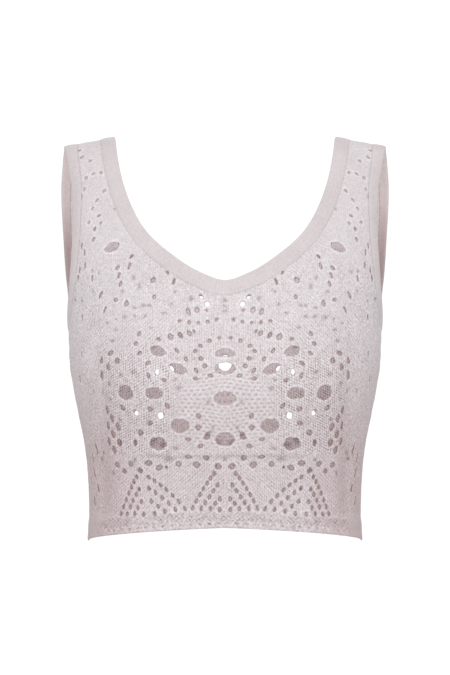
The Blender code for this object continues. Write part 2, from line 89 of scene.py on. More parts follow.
# Free edges. Each row: angle from the centre line in degrees, run past the shoulder line
# in mm, negative on the front and positive on the back.
NECK_EDGE = [
    (0, -157.5), (7.4, -150.5), (16.3, -134.5), (25.1, -112.5), (30.2, -90), (33.6, -66.5),
    (35.7, -40), (36.7, -13), (37.5, 13), (37.4, 40), (36, 70), (33.5, 98), (29, 121), (22, 138.5),
    (12, 152.5), (0, 158.5),
]
ARMHOLE_EDGE = [
    (90, -192), (82, -186.5), (74.5, -175), (67.2, -152), (63.6, -127), (62.2, -95), (62.7, -69),
    (65, -48.5), (68, -24), (69.2, 0), (69, 20), (68, 45), (67.3, 75), (67, 100), (67.7, 126),
    (70, 150), (75, 172), (82, 186.5), (90, 193.4),
]
HEM_AT_SIDE = 2 * MM
FRONT_HEM_LIFT = 17.4 * MM
BACK_HEM_LIFT = 16 * MM
HEM_CURVE = 1.3

# Knitting gauge
STITCH_WIDTH = 3.7 * MM
STITCH_HEIGHT = 3.4 * MM

# How finely the cloth is divided
CLOTH_STEP = 1.88 * MM
EDGE_STEP = 1.6 * MM
CLEAR_OF_CUTS = 0.9 * MM
FLAT_RADIUS = 125 * MM
FLAT_SCALE = np.array([FLAT_RADIUS, 1])
CHART_COLUMNS = 93
CHART_ROWS = 200
NECKBAND_COLUMNS = 420
ARMHOLE_COLUMNS = 230

# The yarn's colours: the deep ones are painted shade in its hollows, the light ones lie on its ridges
LACE_DEEP = (0.32, 0.255, 0.265)
LACE_LIGHT = (0.9, 0.865, 0.89)
# Painted shade, darker and warmer, on the lower sides
LACE_LOW_SHADE = (0.8, 0.715, 0.705)
# Painted shade in the small eyelets and round the large ones
LACE_EYELET_SHADE = (0.47, 0.36, 0.32)
BAND_DEEP = (0.58, 0.53, 0.54)
BAND_LIGHT = (0.8, 0.745, 0.757)
# Painted shade on the bands' insides, low down
BAND_INSIDE_SHADE = (0.7, 0.61, 0.6)
AROUND_LIGHT = 0.66

# Eyelets of the lace, in mm along the cloth: across, up, width, height, tilt, shape. Across
# is from the centre line and up is from the hem line. The tilt is in degrees and lifts the
# outer end. A row that leaves out its last values is level or round. Off the centre line
# each has its twin on the other side.
FRONT_CENTRE_EYELETS = [
    (0, 174, 17.5, 8.4, 0, "half moon"), (0, 160.4, 17.5, 10.5), (0, 134, 19, 12),
    (0, 98, 16.5, 12.5),
]
LARGE_ROUNDS_AND_LEAVES = [
    (59, 175.5, 14.5, 8.5, 20, "leaf"), (41, 160, 16.5, 8, 22, "leaf"), (90.5, 139, 15, 13.5),
    (62.5, 138.5, 15, 10, 0, "square"), (39.5, 110, 16, 13), (59.5, 94, 15, 12),
]
SIDE_CLUSTER = [
    (107.5, 173.5, 7.5, 5, -20), (119, 167, 6.5, 6.5, 0, "drop"), (99.5, 167, 6.5, 6, -15),
    (110.5, 161.5, 7, 7, 0, "drop"), (119.5, 154, 6.5, 8.5, 0, "drop"),
]
SPRAY_BETWEEN_ROUNDS = [
    (93.5, 125.5, 5.5, 6.5, -30, "leaf"), (80, 121.6, 4.4, 6.2, -25, "open"),
    (66, 124.5, 6, 5.5, -10), (50.5, 127.5, 4.5, 6.8, -28, "leaf"), (56.5, 119, 6, 7, 20, "open"),
    (66.5, 112, 6.5, 5, -25), (75.5, 103.5, 6, 6.5, 10), (81, 94.5, 4.6, 7, 10, "leaf"),
]
SPRAY_BESIDE_OVALS = [
    (23, 118.5, 5, 6, -20), (23.5, 108.5, 5.5, 6, 10), (15.5, 101, 5.5, 8, 20, "square"),
    (21.5, 92, 6, 4.5, -28), (32.5, 98, 5.6, 3.6),
]
ROW_OVER_TRIANGLES = [
    (100, 74.5, 5.5, 6, -20), (92.5, 69, 6, 5.5, 0, "drop"), (85.5, 75.5, 6, 6, -10),
    (76.5, 70, 7, 6, 0, "drop"), (68.5, 76.5, 8, 6), (58.5, 72.5, 7.5, 5.5, -25, "leaf"),
    (41, 76, 6, 6), (25, 75.5, 7, 6.5), (32, 82.5, 6.5, 4.5), (16.5, 81.5, 6, 5.5, 30, "leaf"),
    (6, 74, 7, 6, 20, "leaf"), (52, 73, 2.2, 2.8),
]
ARCH_OVER_CENTRE = [
    (5, 187, 3.6, 3.6, 0, "drop"), (13.5, 184.5, 4.3, 4.3, -20), (21.5, 180, 4.5, 3.5, 20),
    (26, 175.5, 4.7, 4.1, 0, "drop"), (21, 169, 5, 4.4, 15), (17.5, 162.5, 5, 4.6, 10),
    (12.5, 154, 5, 3.4), (34, 168.5, 3.8, 5, -25), (25, 158.5, 2.8, 5.6, -35, "leaf"),
    (25.5, 151.5, 5.2, 3.8, 12),
]
ROW_UNDER_NECK = [
    (76.5, 190.5, 4.2, 5, 15), (58.3, 186, 4.4, 3.3, 20, "leaf"), (47.5, 188, 5.6, 7.2, -20),
    (39, 189.5, 4.4, 7, -32, "leaf"), (31, 191, 4.4, 5.8, -32, "leaf"),
    (27, 192.5, 1.8, 3.2, -20, "leaf"), (79.5, 182, 5.4, 4.6, -30), (76, 173.7, 5.4, 3.6, -30),
    (42, 176, 3, 5.4, -35, "leaf"),
]
NECK_CORNER = [
    (15.4, 216.6, 4.6, 5.2, -15, "open"), (16, 211, 2, 2.2, 0, "drop"), (24.5, 211.5, 5, 6.2, -10),
    (32, 210, 3.8, 7.4, -20), (20.9, 223.2, 2.8, 5, -30, "open"), (7.4, 202.8, 3.6, 4, 0, "drop"),
    (15.2, 201, 3.3, 3.8), (23.2, 200.2, 3.3, 3.4, 0, "drop"), (31.3, 200.6, 2.6, 4, -15, "leaf"),
    (39.7, 201.8, 3.8, 3),
]
BESIDE_LEAVES = [
    (68, 165, 6.4, 3.8, -32), (53.5, 150, 5.2, 3.8, 32), (67.5, 154, 3.4, 6, -14),
    (59.6, 157.2, 3.6, 5.8, 14, "open"),
]
CHEST_EYELETS = [
    (102.5, 267.5, 15, 8, -22, "leaf"), (97, 249, 5, 3, -40, "leaf"),
    (83.6, 259, 2.4, 4.6, 40, "leaf"), (85.6, 250.5, 2.4, 6, 15, "leaf"),
    (95.6, 242.5, 2.6, 5.4, 12, "leaf"), (94.4, 234.5, 3.2, 5.8, 15, "leaf"),
    (63.5, 238, 6.3, 6.6, 20, "drop"), (45, 236.5, 2.4, 6.3, 15, "leaf"),
    (50.7, 244.5, 2.4, 3.8, -30, "leaf"), (62.5, 223, 3.8, 5, 10), (115.5, 225, 3.6, 8, 30, "leaf"),
    (99.5, 220.5, 5.8, 4.2, 20, "drop"), (88.5, 217.5, 6, 6.4, -10, "drop"),
    (111.8, 212, 1.8, 6.2, 25, "leaf"),
]
STRAP_EYELETS = [
    (131.5, 361.5, 4.5, 4.8), (123.5, 355, 4.5, 4.5), (134, 372, 3.6, 3.4, 0, "leaf"),
    (128, 336, 4.5, 4.5), (120.5, 339.5, 4.5, 3.6, -30), (113, 340.5, 3.2, 4.4, -30, "leaf"),
    (110, 321, 3.6, 4.8, 35), (130.5, 324, 3.4, 4.4), (117, 312, 3.8, 5.2, 30),
    (122, 304, 3.4, 4.6, 20, "leaf"), (115.5, 297, 5, 3.8, -20), (126.5, 291, 4.5, 4),
    (113.5, 290, 3.6, 3.8), (120, 284.5, 3.8, 5), (121.5, 275, 4.2, 5),
]
SIDE_SLITS = [
    (132.5, 263.5, 1.8, 5.2, -10, "leaf"), (136, 269.5, 1.6, 5, 0, "leaf"),
    (132.5, 251.5, 2, 5, -10, "leaf"), (140.5, 247.5, 1.8, 5.2, 0, "leaf"),
    (144, 240.5, 1.8, 5.4, 10, "leaf"), (124.4, 239.6, 1.8, 4.8, 0, "leaf"),
    (144.6, 205.6, 2.2, 5, 0, "leaf"), (151, 172, 1.8, 6, 0, "leaf"), (158, 150, 1.8, 6, 0, "leaf"),
    (131, 88, 1.7, 8, -12, "leaf"), (139, 79, 1.7, 8, -12, "leaf"), (147, 88, 1.8, 9, 0, "leaf"),
    (137, 66, 1.7, 8, -14, "leaf"), (146, 60, 1.7, 9, -4, "leaf"), (130, 52, 1.7, 7, -14, "leaf"),
    (137, 40, 1.7, 8, -14, "leaf"),
]

# Eyelets that the yarn has closed, left as soft hollows: across, up, width, height
CLOSED_HOLLOWS = [
    (0, 220, 3.6, 3.6), (0, 215, 3.6, 1.8), (0, 210.5, 3.6, 1.8), (0, 80.5, 4.5, 4.5),
    (10.5, 109, 3, 3), (12, 105, 3, 2.2), (14.5, 131, 2.6, 1.8), (29.5, 221.5, 3.6, 5),
    (44, 227.5, 2, 3), (47, 216.5, 3, 3), (54, 209, 4, 1.6), (40, 143, 4.5, 3.5),
    (43.5, 150.5, 2, 3), (43, 90, 5.5, 3), (50, 80, 9, 4.5), (67, 215.5, 4, 2.4),
    (72, 215.5, 4.4, 2.6), (81, 213.5, 4, 3), (65, 196, 4, 2), (71, 206, 3, 2), (80.5, 206, 3, 2),
    (90.5, 205, 5, 3.6), (76.5, 232.5, 3, 5.5), (81.5, 240, 3, 4), (81.5, 157, 6, 4),
    (96, 154.5, 4.4, 4), (81.5, 79, 4, 4.5), (92.5, 228, 4.4, 3), (99.5, 203.5, 2.4, 2),
    (101, 194, 4.4, 2), (104.5, 184.5, 6, 3), (110, 200, 2.6, 2), (110, 146.5, 4, 4.5),
    (109, 133.5, 4, 3), (97, 115, 2.4, 3), (104.5, 67, 2.6, 5), (119, 140, 2.6, 4),
    (117, 245, 2.2, 3), (124, 246.5, 2.2, 4), (125, 228.5, 1.8, 4), (132.5, 140, 3, 3),
    (121.5, 84, 5, 4), (124, 78.5, 5, 4.5), (130.5, 83, 2.6, 4), (141.5, 219.5, 3, 3),
    (154, 221.5, 5, 4), (136.5, 372.5, 4.5, 4.5), (133, 360.5, 4, 3), (134, 317, 3, 4),
    (100, 303, 2.4, 2),
]

BACK_CENTRE_EYELETS = [
    (0, 193, 17.5, 7.5, 0, "half moon"), (0, 163.1, 12.8, 15), (0, 111, 18, 11),
]
BACK_ROUNDS_AND_LEAVES = [
    (60, 198, 14.5, 8.5, 20, "leaf"), (38.5, 180.5, 13, 7, 22, "leaf"), (90.5, 159, 15, 13.5),
    (61.5, 164, 12, 6.5, 0, "square"), (39.5, 130, 16, 13), (58.5, 101, 12, 9),
]
BACK_SPRAY = [
    (93.5, 145.5, 5.5, 6.5, -30, "leaf"), (80, 142, 5, 7, -25), (66, 144.5, 6, 5.5, -10),
    (50.5, 147.5, 4.5, 6.8, -28, "leaf"), (54.5, 140, 6, 6.5, 20), (78, 129, 6, 5, -25),
    (78, 120, 6, 6.5, 10), (78, 109.5, 4.6, 6.5, 10, "leaf"),
]
BACK_SMALL_EYELETS = [
    (22.5, 224.2, 5, 5.6, -25, "open"), (16.7, 218.2, 5.6, 6.6, 0, "open"),
    (51.3, 157.2, 5.8, 7.4, -30, "open"), (64, 155.3, 4.6, 6.8, 15, "open"),
    (84.3, 115.6, 5, 6, 20, "open"), (61.2, 113.4, 6, 7.4, 20, "open"), (56.6, 65, 2.4, 2.6),
]

# The back's side cluster and its closed eyelets sit this much higher than the front's, and
# the closed ones this clear of a cut one
BACK_CLUSTER_RISE = 20
BACK_RISE = 14
BACK_CLEAR = 8

# The lattice at each side: columns of eyelets, each leaning inwards as it goes down.
# across and up of its top eyelet, eyelets
FRONT_LATTICE = [
    (112.5, 123, 3), (105.5, 116, 3), (98.5, 108.5, 2),
]
BACK_LATTICE = [
    (112.5, 147, 3), (107, 140, 3),
]
LATTICE_PITCH = 14
LATTICE_LEAN = 1.2
LATTICE_EYELET = (6, 8, 0, "leaf")

# The legs of the triangles at the hem, each a row of eyelets that narrow towards its foot:
# across and up at its top, across and up at its foot, eyelets, rise of its middle
FRONT_TRIANGLE_LEGS = [
    (9.5, 67.5, 28.5, 37, 7, 2), (80, 64, 96, 30.5, 7, 2), (68.5, 64, 35.5, 36.5, 7, 2.7),
    (6.5, 57.5, 21, 36.5, 5, 0), (77.5, 53, 89.5, 30.5, 5, 1.2), (68, 54, 44, 35.5, 5, 1.2),
    (4.5, 45.3, 12.7, 36.5, 3, 0.3), (75.5, 42, 82, 31.2, 3, 0), (66, 42.5, 53.5, 34, 3, 0),
    (4.6, 35.7, 4.6, 35.7, 1, 0), (73, 31, 73, 31, 1, 0), (62.7, 31.9, 62.7, 31.9, 1, 0),
]
BACK_TRIANGLE_LEGS = [
    (21, 59, 35, 36, 5, 0), (59, 56, 41, 41, 4, 0), (106, 54, 114, 30, 5, 0),
]
LEG_EYELET = (4.6, 5.2)
LEG_NARROWING = 0.3

# Eyelets under this size in mm are drawn in by their yarns, by a share of their lesser width
# up to a limit, and the yarns turn down round them. One called open isn't drawn in.
SMALL_EYELET = 9
DRAWN_IN = 1.0
DRAWN_IN_SHARE = 0.25

# How the shapes of eyelets depart from an oval
DROP_NARROWING = 0.62
DROP_CURVE = 1.6
LEAF_POINT = 0.45
SMALL_POINT = 0.3
SMALL_SKEW = 0.16
SQUARE_POWER = 0.72
MOON_FLATNESS = 0.6
MOON_BEND = 0.24
MOON_DROP = 0.4
ROUGHNESS = 0.045
SMALL_ROUGHNESS = 0.085
CENTRE_ROUGHNESS = 0.02

# Points round the eyelets, in mm: their spacing on the rims, how far out the collars round
# those lie and their spacing, the spacing on closed hollows, how clear collars are of rims,
# and how clear loose points are of collars
RIM_STEP = 1.05
COLLARS = (0.45, 1.05)
COLLAR_STEP = 1.2
HOLLOW_STEP = 1.1
COLLAR_CLEAR = 0.36
LOOSE_CLEAR = 0.6

# The relief of the lace, in mm: rise, the distance at which its middle lies, reach
RIM_RIDGE = (0.35, 1.3, 0.6)
SMALL_FUNNEL = (-0.9, 0, 0.75)
LARGE_FUNNEL = (-0.4, 0, 0.35)
BAND_SEAM_DIP = (-0.08, 0, 0.8)
PLAIN_SEAM_DIP = (-0.45, 0, 1.1)
HEM_FOLD = (-0.55, 0, 0.5)
SIDE_CREASE = (-2, 120, 9)
SIDE_SWELL = (1, 104, 8)
BORDER_RISE = 0.3
CLOSED_DEPTH = 0.55
PUCKER_RISE = 0.4
PUCKER_SIZE = (9, 7)

# The course of heavier stitches under the bust, in mm: its height over the hem line, where it
# ends, how it wanders, the rise and reach of its ridge, and those of the dip below it
LEDGE_UP = 84.5
LEDGE_ENDS = (68, 78)
LEDGE_WANDER = (0.7, 8, 19)
LEDGE_RIDGE = (0.9, 1.2)
LEDGE_DIP = (0.25, 1.1)
LEDGE_DIP_BELOW = 2.1

# Fields of the lace, in mm across or over the hem line: where each starts and is whole, or
# where it fades and is gone. The edge of the dashes is in shares of their oval.
DASHES_OVAL = (47, 37)
DASHES_UP = 124
DASHES_EDGE = (0.8, 1.15)
SLANT_OUT = (34, 54)
SLANT_END = (110, 130)
SLANT_LOW = (80, 88)
SLANT_HIGH = (160, 190)
SMOOTH_SIDES = (112, 132)
SMOOTH_CHEST = (185, 215)
SMOOTH_TOP = (250, 290)
ASIDE_OUT = (108, 126)
ASIDE_HIGH = (230, 260)
STRAP_UP = (240, 290)
COLUMNS_UP = (150, 170)
COLUMNS_END = (28, 48)
# Painted shade on the lower sides fades out between these heights and grows outwards across these
LOW_SHADE_HIGH = (50, 220)
LOW_SHADE_OUT = (60, 125)
# The painted shade round the small eyelets halves between these heights
LESS_EYELET_SHADE_UP = (265, 300)
CREASE_HIGH = (105, 165)
CREASE_LOW = (4, 30)
BORDER_EDGE = (17, 21.5)

# Stitches: how wide a yarn is as a share of its stitch, pitches across and up, where the
# dashes bend and how far, and the hem's rows, with where each starts and ends
YARN_SHARE = 0.56
DASH_PITCH = (5.3 * MM, 3.3 * MM)
DASH_BEND = 4.2 * MM
DASH_BEND_REACH = (15 * MM, 8 * MM)
DASH_BEND_UP = 134 * MM
SLANT_ANGLE = math.radians(33)
SLANT_PITCH = (2.7 * MM, 2.1 * MM)
HEM_PITCH = (4 * MM, 1.9 * MM)
HEM_ROWS_FROM = (5.6 * MM, 7 * MM)
HEM_ROWS_TO = (13 * MM, 16 * MM)
HEM_WIDE_PITCH = 8.1 * MM
HEM_WIDE_UP = 4.3 * MM
HEM_WIDE_EDGE = (0.4 * MM, 1.7 * MM)
BAND_RIB = 2.3 * MM

# The bands' insides take painted shade below the first of these heights and none above the second
BAND_SHADE_HEIGHTS = (-0.11, -0.04)

# A band's section, in mm: how high its face lies, how it swells and falls, and its lip, as
# distances short of the band's width with their heights
BAND_TOP = 0.5
BAND_SWELL = 0.22
BAND_FALL = 0.4
BAND_LIP = [(0.3, 0.1), (0, -0.05), (0.1, -1.25)]
BAND_INNER_CORNER = 0.6

# The surface of the yarn
YARN_SURFACE = {
    "Roughness": 0.92,
    "Specular IOR Level": 0.18,
    "Sheen Weight": 0.12,
    "Sheen Roughness": 0.6,
    "Sheen Tint": (1.0, 0.94, 0.95, 1),
}

# The camera and the studio. Lamps: name, place, power
LENS = 152.2
CAMERA_PLACE = (0, -2.6, -0.179)
TOP_MIDDLE = Vector((0, 0, -0.18))
BEHIND_LIGHT = 1.05
LIGHT_COLOUR = (1, 0.99, 0.995)
LIGHT_SIZE = 2.0
SOFT_LIGHTS = [
    ("front_light", (0, -2.4, 1.2), 31),
    ("back_light", (0, 2.4, 1.2), 14),
]
GLOW_COLOUR = (1, 0.85, 0.8)
GLOW_SIZE = 0.05
INNER_GLOWS = [
    ("upper_glow", (0, 0, -0.12), 0.038),
    ("lower_glow", (0, 0, -0.26), 0.045),
    ("left_strap_glow", (0.12, 0.01, -0.05), 0.03),
    ("right_strap_glow", (-0.12, 0.01, -0.05), 0.03),
]
FLOOR_RADIUS = 1.05
FLOOR_HEIGHT = -0.62

Eyelet = namedtuple("Eyelet", "across up width height tilt shape", defaults=(0, "round"))


def slopes_between(places, values):
    """The slope of each column at each row, set by the rows on both sides."""
    spans = np.diff(places)
    rises = np.diff(values, axis=0) / spans[:, None]
    found = np.empty_like(values)
    found[0] = rises[0]
    found[-1] = rises[-1]
    before = spans[:-1, None]
    after = spans[1:, None]
    found[1:-1] = (rises[:-1] * after + rises[1:] * before) / (before + after)
    return found


class SmoothTable:
    """Rows of numbers read smoothly at any places."""

    def __init__(self, places, rows):
        self.places = np.array(places, float)
        self.rows = np.array(rows, float)
        self.slopes = slopes_between(self.places, self.rows)

    def at(self, places):
        places = np.clip(np.asarray(places, float), self.places[0], self.places[-1])
        index = np.searchsorted(self.places, places, side="right") - 1
        index = np.clip(index, 0, len(self.places) - 2)
        span = self.places[index + 1] - self.places[index]
        share = (places - self.places[index]) / span
        span = span[..., None]
        share = share[..., None]
        return (
            self.rows[index] * (1 + 2 * share) * (1 - share) ** 2
            + self.rows[index + 1] * share**2 * (3 - 2 * share)
            + self.slopes[index] * span * share * (1 - share) ** 2
            + self.slopes[index + 1] * span * share**2 * (share - 1)
        )


def form_table():
    """The form's sections in metres, each at its run along the cloth from the front hem."""
    rows = np.array(FRONT_SECTIONS + BACK_SECTIONS, float) * MM
    climb = np.diff(rows[:, 0])
    depth = DEPTH_SHARE_OF_RUN * np.diff(rows[:, 2])
    return SmoothTable(np.concatenate([[0], np.cumsum(np.hypot(climb, depth))]), rows)


FORM = form_table()
SHOULDER_RUN = float(FORM.places[len(FRONT_SECTIONS) - 1])
BACK_HEM_RUN = float(FORM.places[-1])


def cup_swell(x, z, depth):
    """How far the bust stands out of the plain section, where that is this deep in front."""
    reach = np.where(z > CUP_HEIGHT, CUP_REACH_UP, CUP_REACH_DOWN)
    rise = np.exp(-(((z - CUP_HEIGHT) / reach) ** 2))
    spread = 1 / (1 + (np.abs(x) / CUP_HALF_WIDTH) ** 6)
    parting = 1 - CUP_PARTING * np.exp(-((x / CUP_PARTING_WIDTH) ** 2))
    share = np.clip(depth / CUP_FULL_AT_DEPTH, 0, 1)
    return CUP_FULLNESS * rise * spread * parting * share**2 * (3 - 2 * share)


def cloth_points(angles, runs):
    """The cloth's outer face at angles round the body and runs along the cloth."""
    angles = np.asarray(angles, float)
    height, half_width, depth, middle = np.moveaxis(FORM.at(runs), -1, 0)
    squareness = SECTION_SQUARENESS
    round_x = (np.sin(angles) + squareness * np.sin(3 * angles)) / (1 - squareness)
    round_y = (np.cos(angles) - squareness * np.cos(3 * angles)) / (1 - squareness)
    x = half_width * round_x
    y = middle - depth * round_y - cup_swell(x, height, depth * round_y)
    reach = np.abs(np.asarray(runs) - SHOULDER_RUN) / SHOULDER_REACH
    shoulder_share = np.clip(1 - reach, 0, 1) ** 2
    z = height - SHOULDER_SLOPE * (np.abs(x) - SHOULDER_MIDDLE) * shoulder_share
    return np.stack([x, y, z], axis=-1)


def in_space(places):
    """The same points, for rows of an angle and a run."""
    return cloth_points(places[:, 0], places[:, 1])


def cloth_slopes(angles, runs):
    """How the points move for each radian of angle and each metre of run."""
    step = 1e-4
    angles = np.asarray(angles, float)
    runs = np.asarray(runs, float)
    along_angle = cloth_points(angles + step, runs) - cloth_points(angles - step, runs)
    low = np.maximum(runs - step, 0)
    high = np.minimum(runs + step, BACK_HEM_RUN)
    along_run = cloth_points(angles, high) - cloth_points(angles, low)
    return along_angle / (2 * step), along_run / (high - low)[..., None]


def unit(vectors):
    return vectors / np.linalg.norm(vectors, axis=-1, keepdims=True)


def cloth_normals(angles, runs):
    return unit(np.cross(*cloth_slopes(angles, runs)))


def moved_on_cloth(angles, runs, steps):
    """The angles and runs reached by small steps given in space."""
    along_angle, along_run = cloth_slopes(angles, runs)
    aa = (along_angle**2).sum(-1)
    rr = (along_run**2).sum(-1)
    ar = (along_angle * along_run).sum(-1)
    step_a = (along_angle * steps).sum(-1)
    step_r = (along_run * steps).sum(-1)
    determinant = aa * rr - ar * ar
    turn = (step_a * rr - step_r * ar) / determinant
    climb = (step_r * aa - step_a * ar) / determinant
    return angles + turn, runs + climb


class AcrossChart:
    """Distances from the centre line along the cloth: a column a degree, and rows of runs."""

    def __init__(self):
        self.angles = np.radians(np.linspace(0, CHART_COLUMNS - 1, CHART_COLUMNS))
        runs = np.repeat(np.linspace(0, BACK_HEM_RUN, CHART_ROWS)[:, None], CHART_COLUMNS, axis=1)
        steps = np.linalg.norm(np.diff(cloth_points(self.angles[None, :], runs), axis=1), axis=-1)
        start = np.zeros((CHART_ROWS, 1))
        self.across = np.concatenate([start, np.cumsum(steps, axis=1)], axis=1)

    def across_at(self, angles, runs):
        column = np.clip(np.degrees(np.abs(angles)), 0, CHART_COLUMNS - 1.01)
        row = np.clip(np.asarray(runs) / BACK_HEM_RUN * (CHART_ROWS - 1), 0, CHART_ROWS - 1.01)
        left = column.astype(int)
        low = row.astype(int)
        share = column - left
        rise = row - low
        near = self.across[low, left] * (1 - share) + self.across[low, left + 1] * share
        far = self.across[low + 1, left] * (1 - share) + self.across[low + 1, left + 1] * share
        return np.sign(angles) * (near * (1 - rise) + far * rise)

    def angle_at(self, across, run):
        row = run / BACK_HEM_RUN * (CHART_ROWS - 1)
        low = min(int(row), CHART_ROWS - 2)
        rise = row - low
        line = self.across[low] * (1 - rise) + self.across[low + 1] * rise
        return float(np.interp(across, line, self.angles))


CHART = AcrossChart()


def free_edge(rows, mirror, count, side):
    """Points along a free edge, each with the direction in space away from the opening.

    The edge goes on past each end as its own reflection in the mirror's angle.
    """
    past = [(2 * mirror - angle, run) for angle, run in (rows[1], rows[-2])]
    whole = np.array([past[0], *rows, past[1]], float)
    flat = np.stack([np.radians(whole[:, 0]), SHOULDER_RUN + whole[:, 1] * MM], axis=1)
    lengths = np.linalg.norm(np.diff(in_space(flat), axis=0), axis=1)
    table = SmoothTable(np.concatenate([[0], np.cumsum(lengths)]), flat)
    places = np.linspace(table.places[1], table.places[-2], count)
    flat = table.at(places)
    tangents = in_space(table.at(places + 0.5 * MM)) - in_space(table.at(places - 0.5 * MM))
    normals = cloth_normals(*flat.T)
    return flat, unit(np.cross(tangents, normals)) * side


def offset_row(flat, away, distance):
    """Edge points moved away from the opening, in two halves so that they follow the cloth."""
    angles, runs = flat[:, 0], flat[:, 1]
    for _ in range(2):
        normals = cloth_normals(angles, runs)
        level = unit(away - normals * (away * normals).sum(-1, keepdims=True))
        angles, runs = moved_on_cloth(angles, runs, level * (distance / 2))
    return np.stack([angles, runs], axis=1)


# The left half of the neck's edge, from the centre front to the centre back, and the whole
# left armhole's, from the side seam up the front and down the back
NECK_HALF = free_edge(NECK_EDGE, 0, NECKBAND_COLUMNS // 2 + 1, 1)
ARMHOLE_WHOLE = free_edge(ARMHOLE_EDGE, 90, ARMHOLE_COLUMNS + 1, -1)


def kept_part(points, measure):
    """The stretch of a line on the positive side of a measure, cut exactly where it is zero."""
    kept = []
    for before, after in zip(points, points[1:]):
        here = measure(before)
        there = measure(after)
        if here > 0:
            kept.append(before)
        if (here > 0) != (there > 0):
            kept.append(before + (after - before) * here / (here - there))
    if measure(points[-1]) > 0:
        kept.append(points[-1])
    return np.array(kept)


def evenly(start, end, step):
    """Values between two ends, the ends left out, about a step apart."""
    count = max(round(abs(end - start) / step), 1)
    return np.linspace(start, end, count + 1)[1:-1]


def hem_run(angles, is_front):
    """The run of the arched hem edge at an angle."""
    lift = FRONT_HEM_LIFT if is_front else BACK_HEM_LIFT
    rise = HEM_AT_SIDE + lift * (1 - (np.abs(angles) / math.radians(90)) ** HEM_CURVE)
    return rise if is_front else BACK_HEM_RUN - rise


def panel_edges(is_front):
    """The left half of a panel's cut edge, as its seams and its hem, from neck to hem."""
    way = 1 if is_front else -1
    shoulder = SHOULDER_RUN - way * SEAM_GAP / 2

    def beside_band(edge, width):
        whole = offset_row(*edge, width + SEAM_GAP)[::way]
        return kept_part(whole, lambda place: (shoulder - place[1]) * way)

    neck = beside_band(NECK_HALF, NECKBAND_WIDTH)
    armhole = beside_band(ARMHOLE_WHOLE, ARMHOLE_BAND_WIDTH)
    around = np.linalg.norm(cloth_slopes(math.radians(90), armhole[0][1])[0])
    side = math.radians(90) - SEAM_GAP / 2 / around
    armhole = kept_part(armhole, lambda place: side - place[0])[::-1]
    across = evenly(neck[-1][0], armhole[0][0], EDGE_STEP / FLAT_RADIUS)
    shoulder_line = np.stack([across, np.full_like(across, shoulder)], axis=1)
    hem_corner = float(hem_run(side, is_front))
    down = evenly(armhole[-1][1], hem_corner, EDGE_STEP)
    side_seam = np.stack([np.full_like(down, side), down], axis=1)
    inwards = evenly(side, 0, EDGE_STEP / FLAT_RADIUS)
    inwards = np.concatenate([[side], inwards, [0]])
    hem = np.stack([inwards, hem_run(inwards, is_front)], axis=1)
    return {
        "neck": neck,
        "shoulder": shoulder_line,
        "armhole": armhole,
        "side": side_seam,
        "hem": hem,
    }


def twin(places):
    """The same flat places on the other side of the centre line."""
    return places * np.array([-1, 1])


def panel_outline(edges):
    left = np.concatenate(list(edges.values()))
    return np.concatenate([left, twin(left[-2:0:-1])])


def lattice_eyelets(columns):
    for across, up, count in columns:
        for index in range(count):
            place = (across - LATTICE_LEAN * index, up - LATTICE_PITCH * index)
            yield (*place, *LATTICE_EYELET)


def leg_eyelets(legs):
    wide, tall = LEG_EYELET
    for top_across, top_up, foot_across, foot_up, count, bow in legs:
        lean = math.degrees(math.atan2(foot_across - top_across, 30))
        for index in range(count):
            share = index / max(count - 1, 1)
            across = top_across + (foot_across - top_across) * share
            up = top_up + (foot_up - top_up) * share + bow * 4 * share * (1 - share)
            narrow = 1 - LEG_NARROWING * share * (count - 1) / 6
            yield (across, up, wide * narrow, tall, lean * 0.5, "drop")


def raised(rows, rise):
    """The same eyelets, higher up the cloth."""
    return [(across, up + rise, *rest) for across, up, *rest in rows]


def panel_eyelets(is_front):
    """The eyelets on one panel's centre line, and those that have a twin."""
    if is_front:
        centre = FRONT_CENTRE_EYELETS
        paired = LARGE_ROUNDS_AND_LEAVES + SIDE_CLUSTER + SPRAY_BETWEEN_ROUNDS
        paired = paired + SPRAY_BESIDE_OVALS + ROW_OVER_TRIANGLES + ARCH_OVER_CENTRE
        paired = paired + ROW_UNDER_NECK + NECK_CORNER + BESIDE_LEAVES
        paired = paired + CHEST_EYELETS + STRAP_EYELETS + SIDE_SLITS
        lattice, legs = FRONT_LATTICE, FRONT_TRIANGLE_LEGS
    else:
        centre = BACK_CENTRE_EYELETS
        cluster = raised(SIDE_CLUSTER, BACK_CLUSTER_RISE)
        paired = BACK_ROUNDS_AND_LEAVES + cluster + BACK_SPRAY + BACK_SMALL_EYELETS
        lattice, legs = BACK_LATTICE, BACK_TRIANGLE_LEGS
    paired = [*paired, *lattice_eyelets(lattice), *leg_eyelets(legs)]
    return [Eyelet(*row) for row in centre], [Eyelet(*row) for row in paired]


def drawn_in(eyelet):
    """Whether an eyelet is a small one that its yarns draw together."""
    return max(eyelet.width, eyelet.height) < SMALL_EYELET and eyelet.shape != "open"


def pointed(value, power):
    """Draws a rim out to points at its ends."""
    return value * np.abs(value) ** power


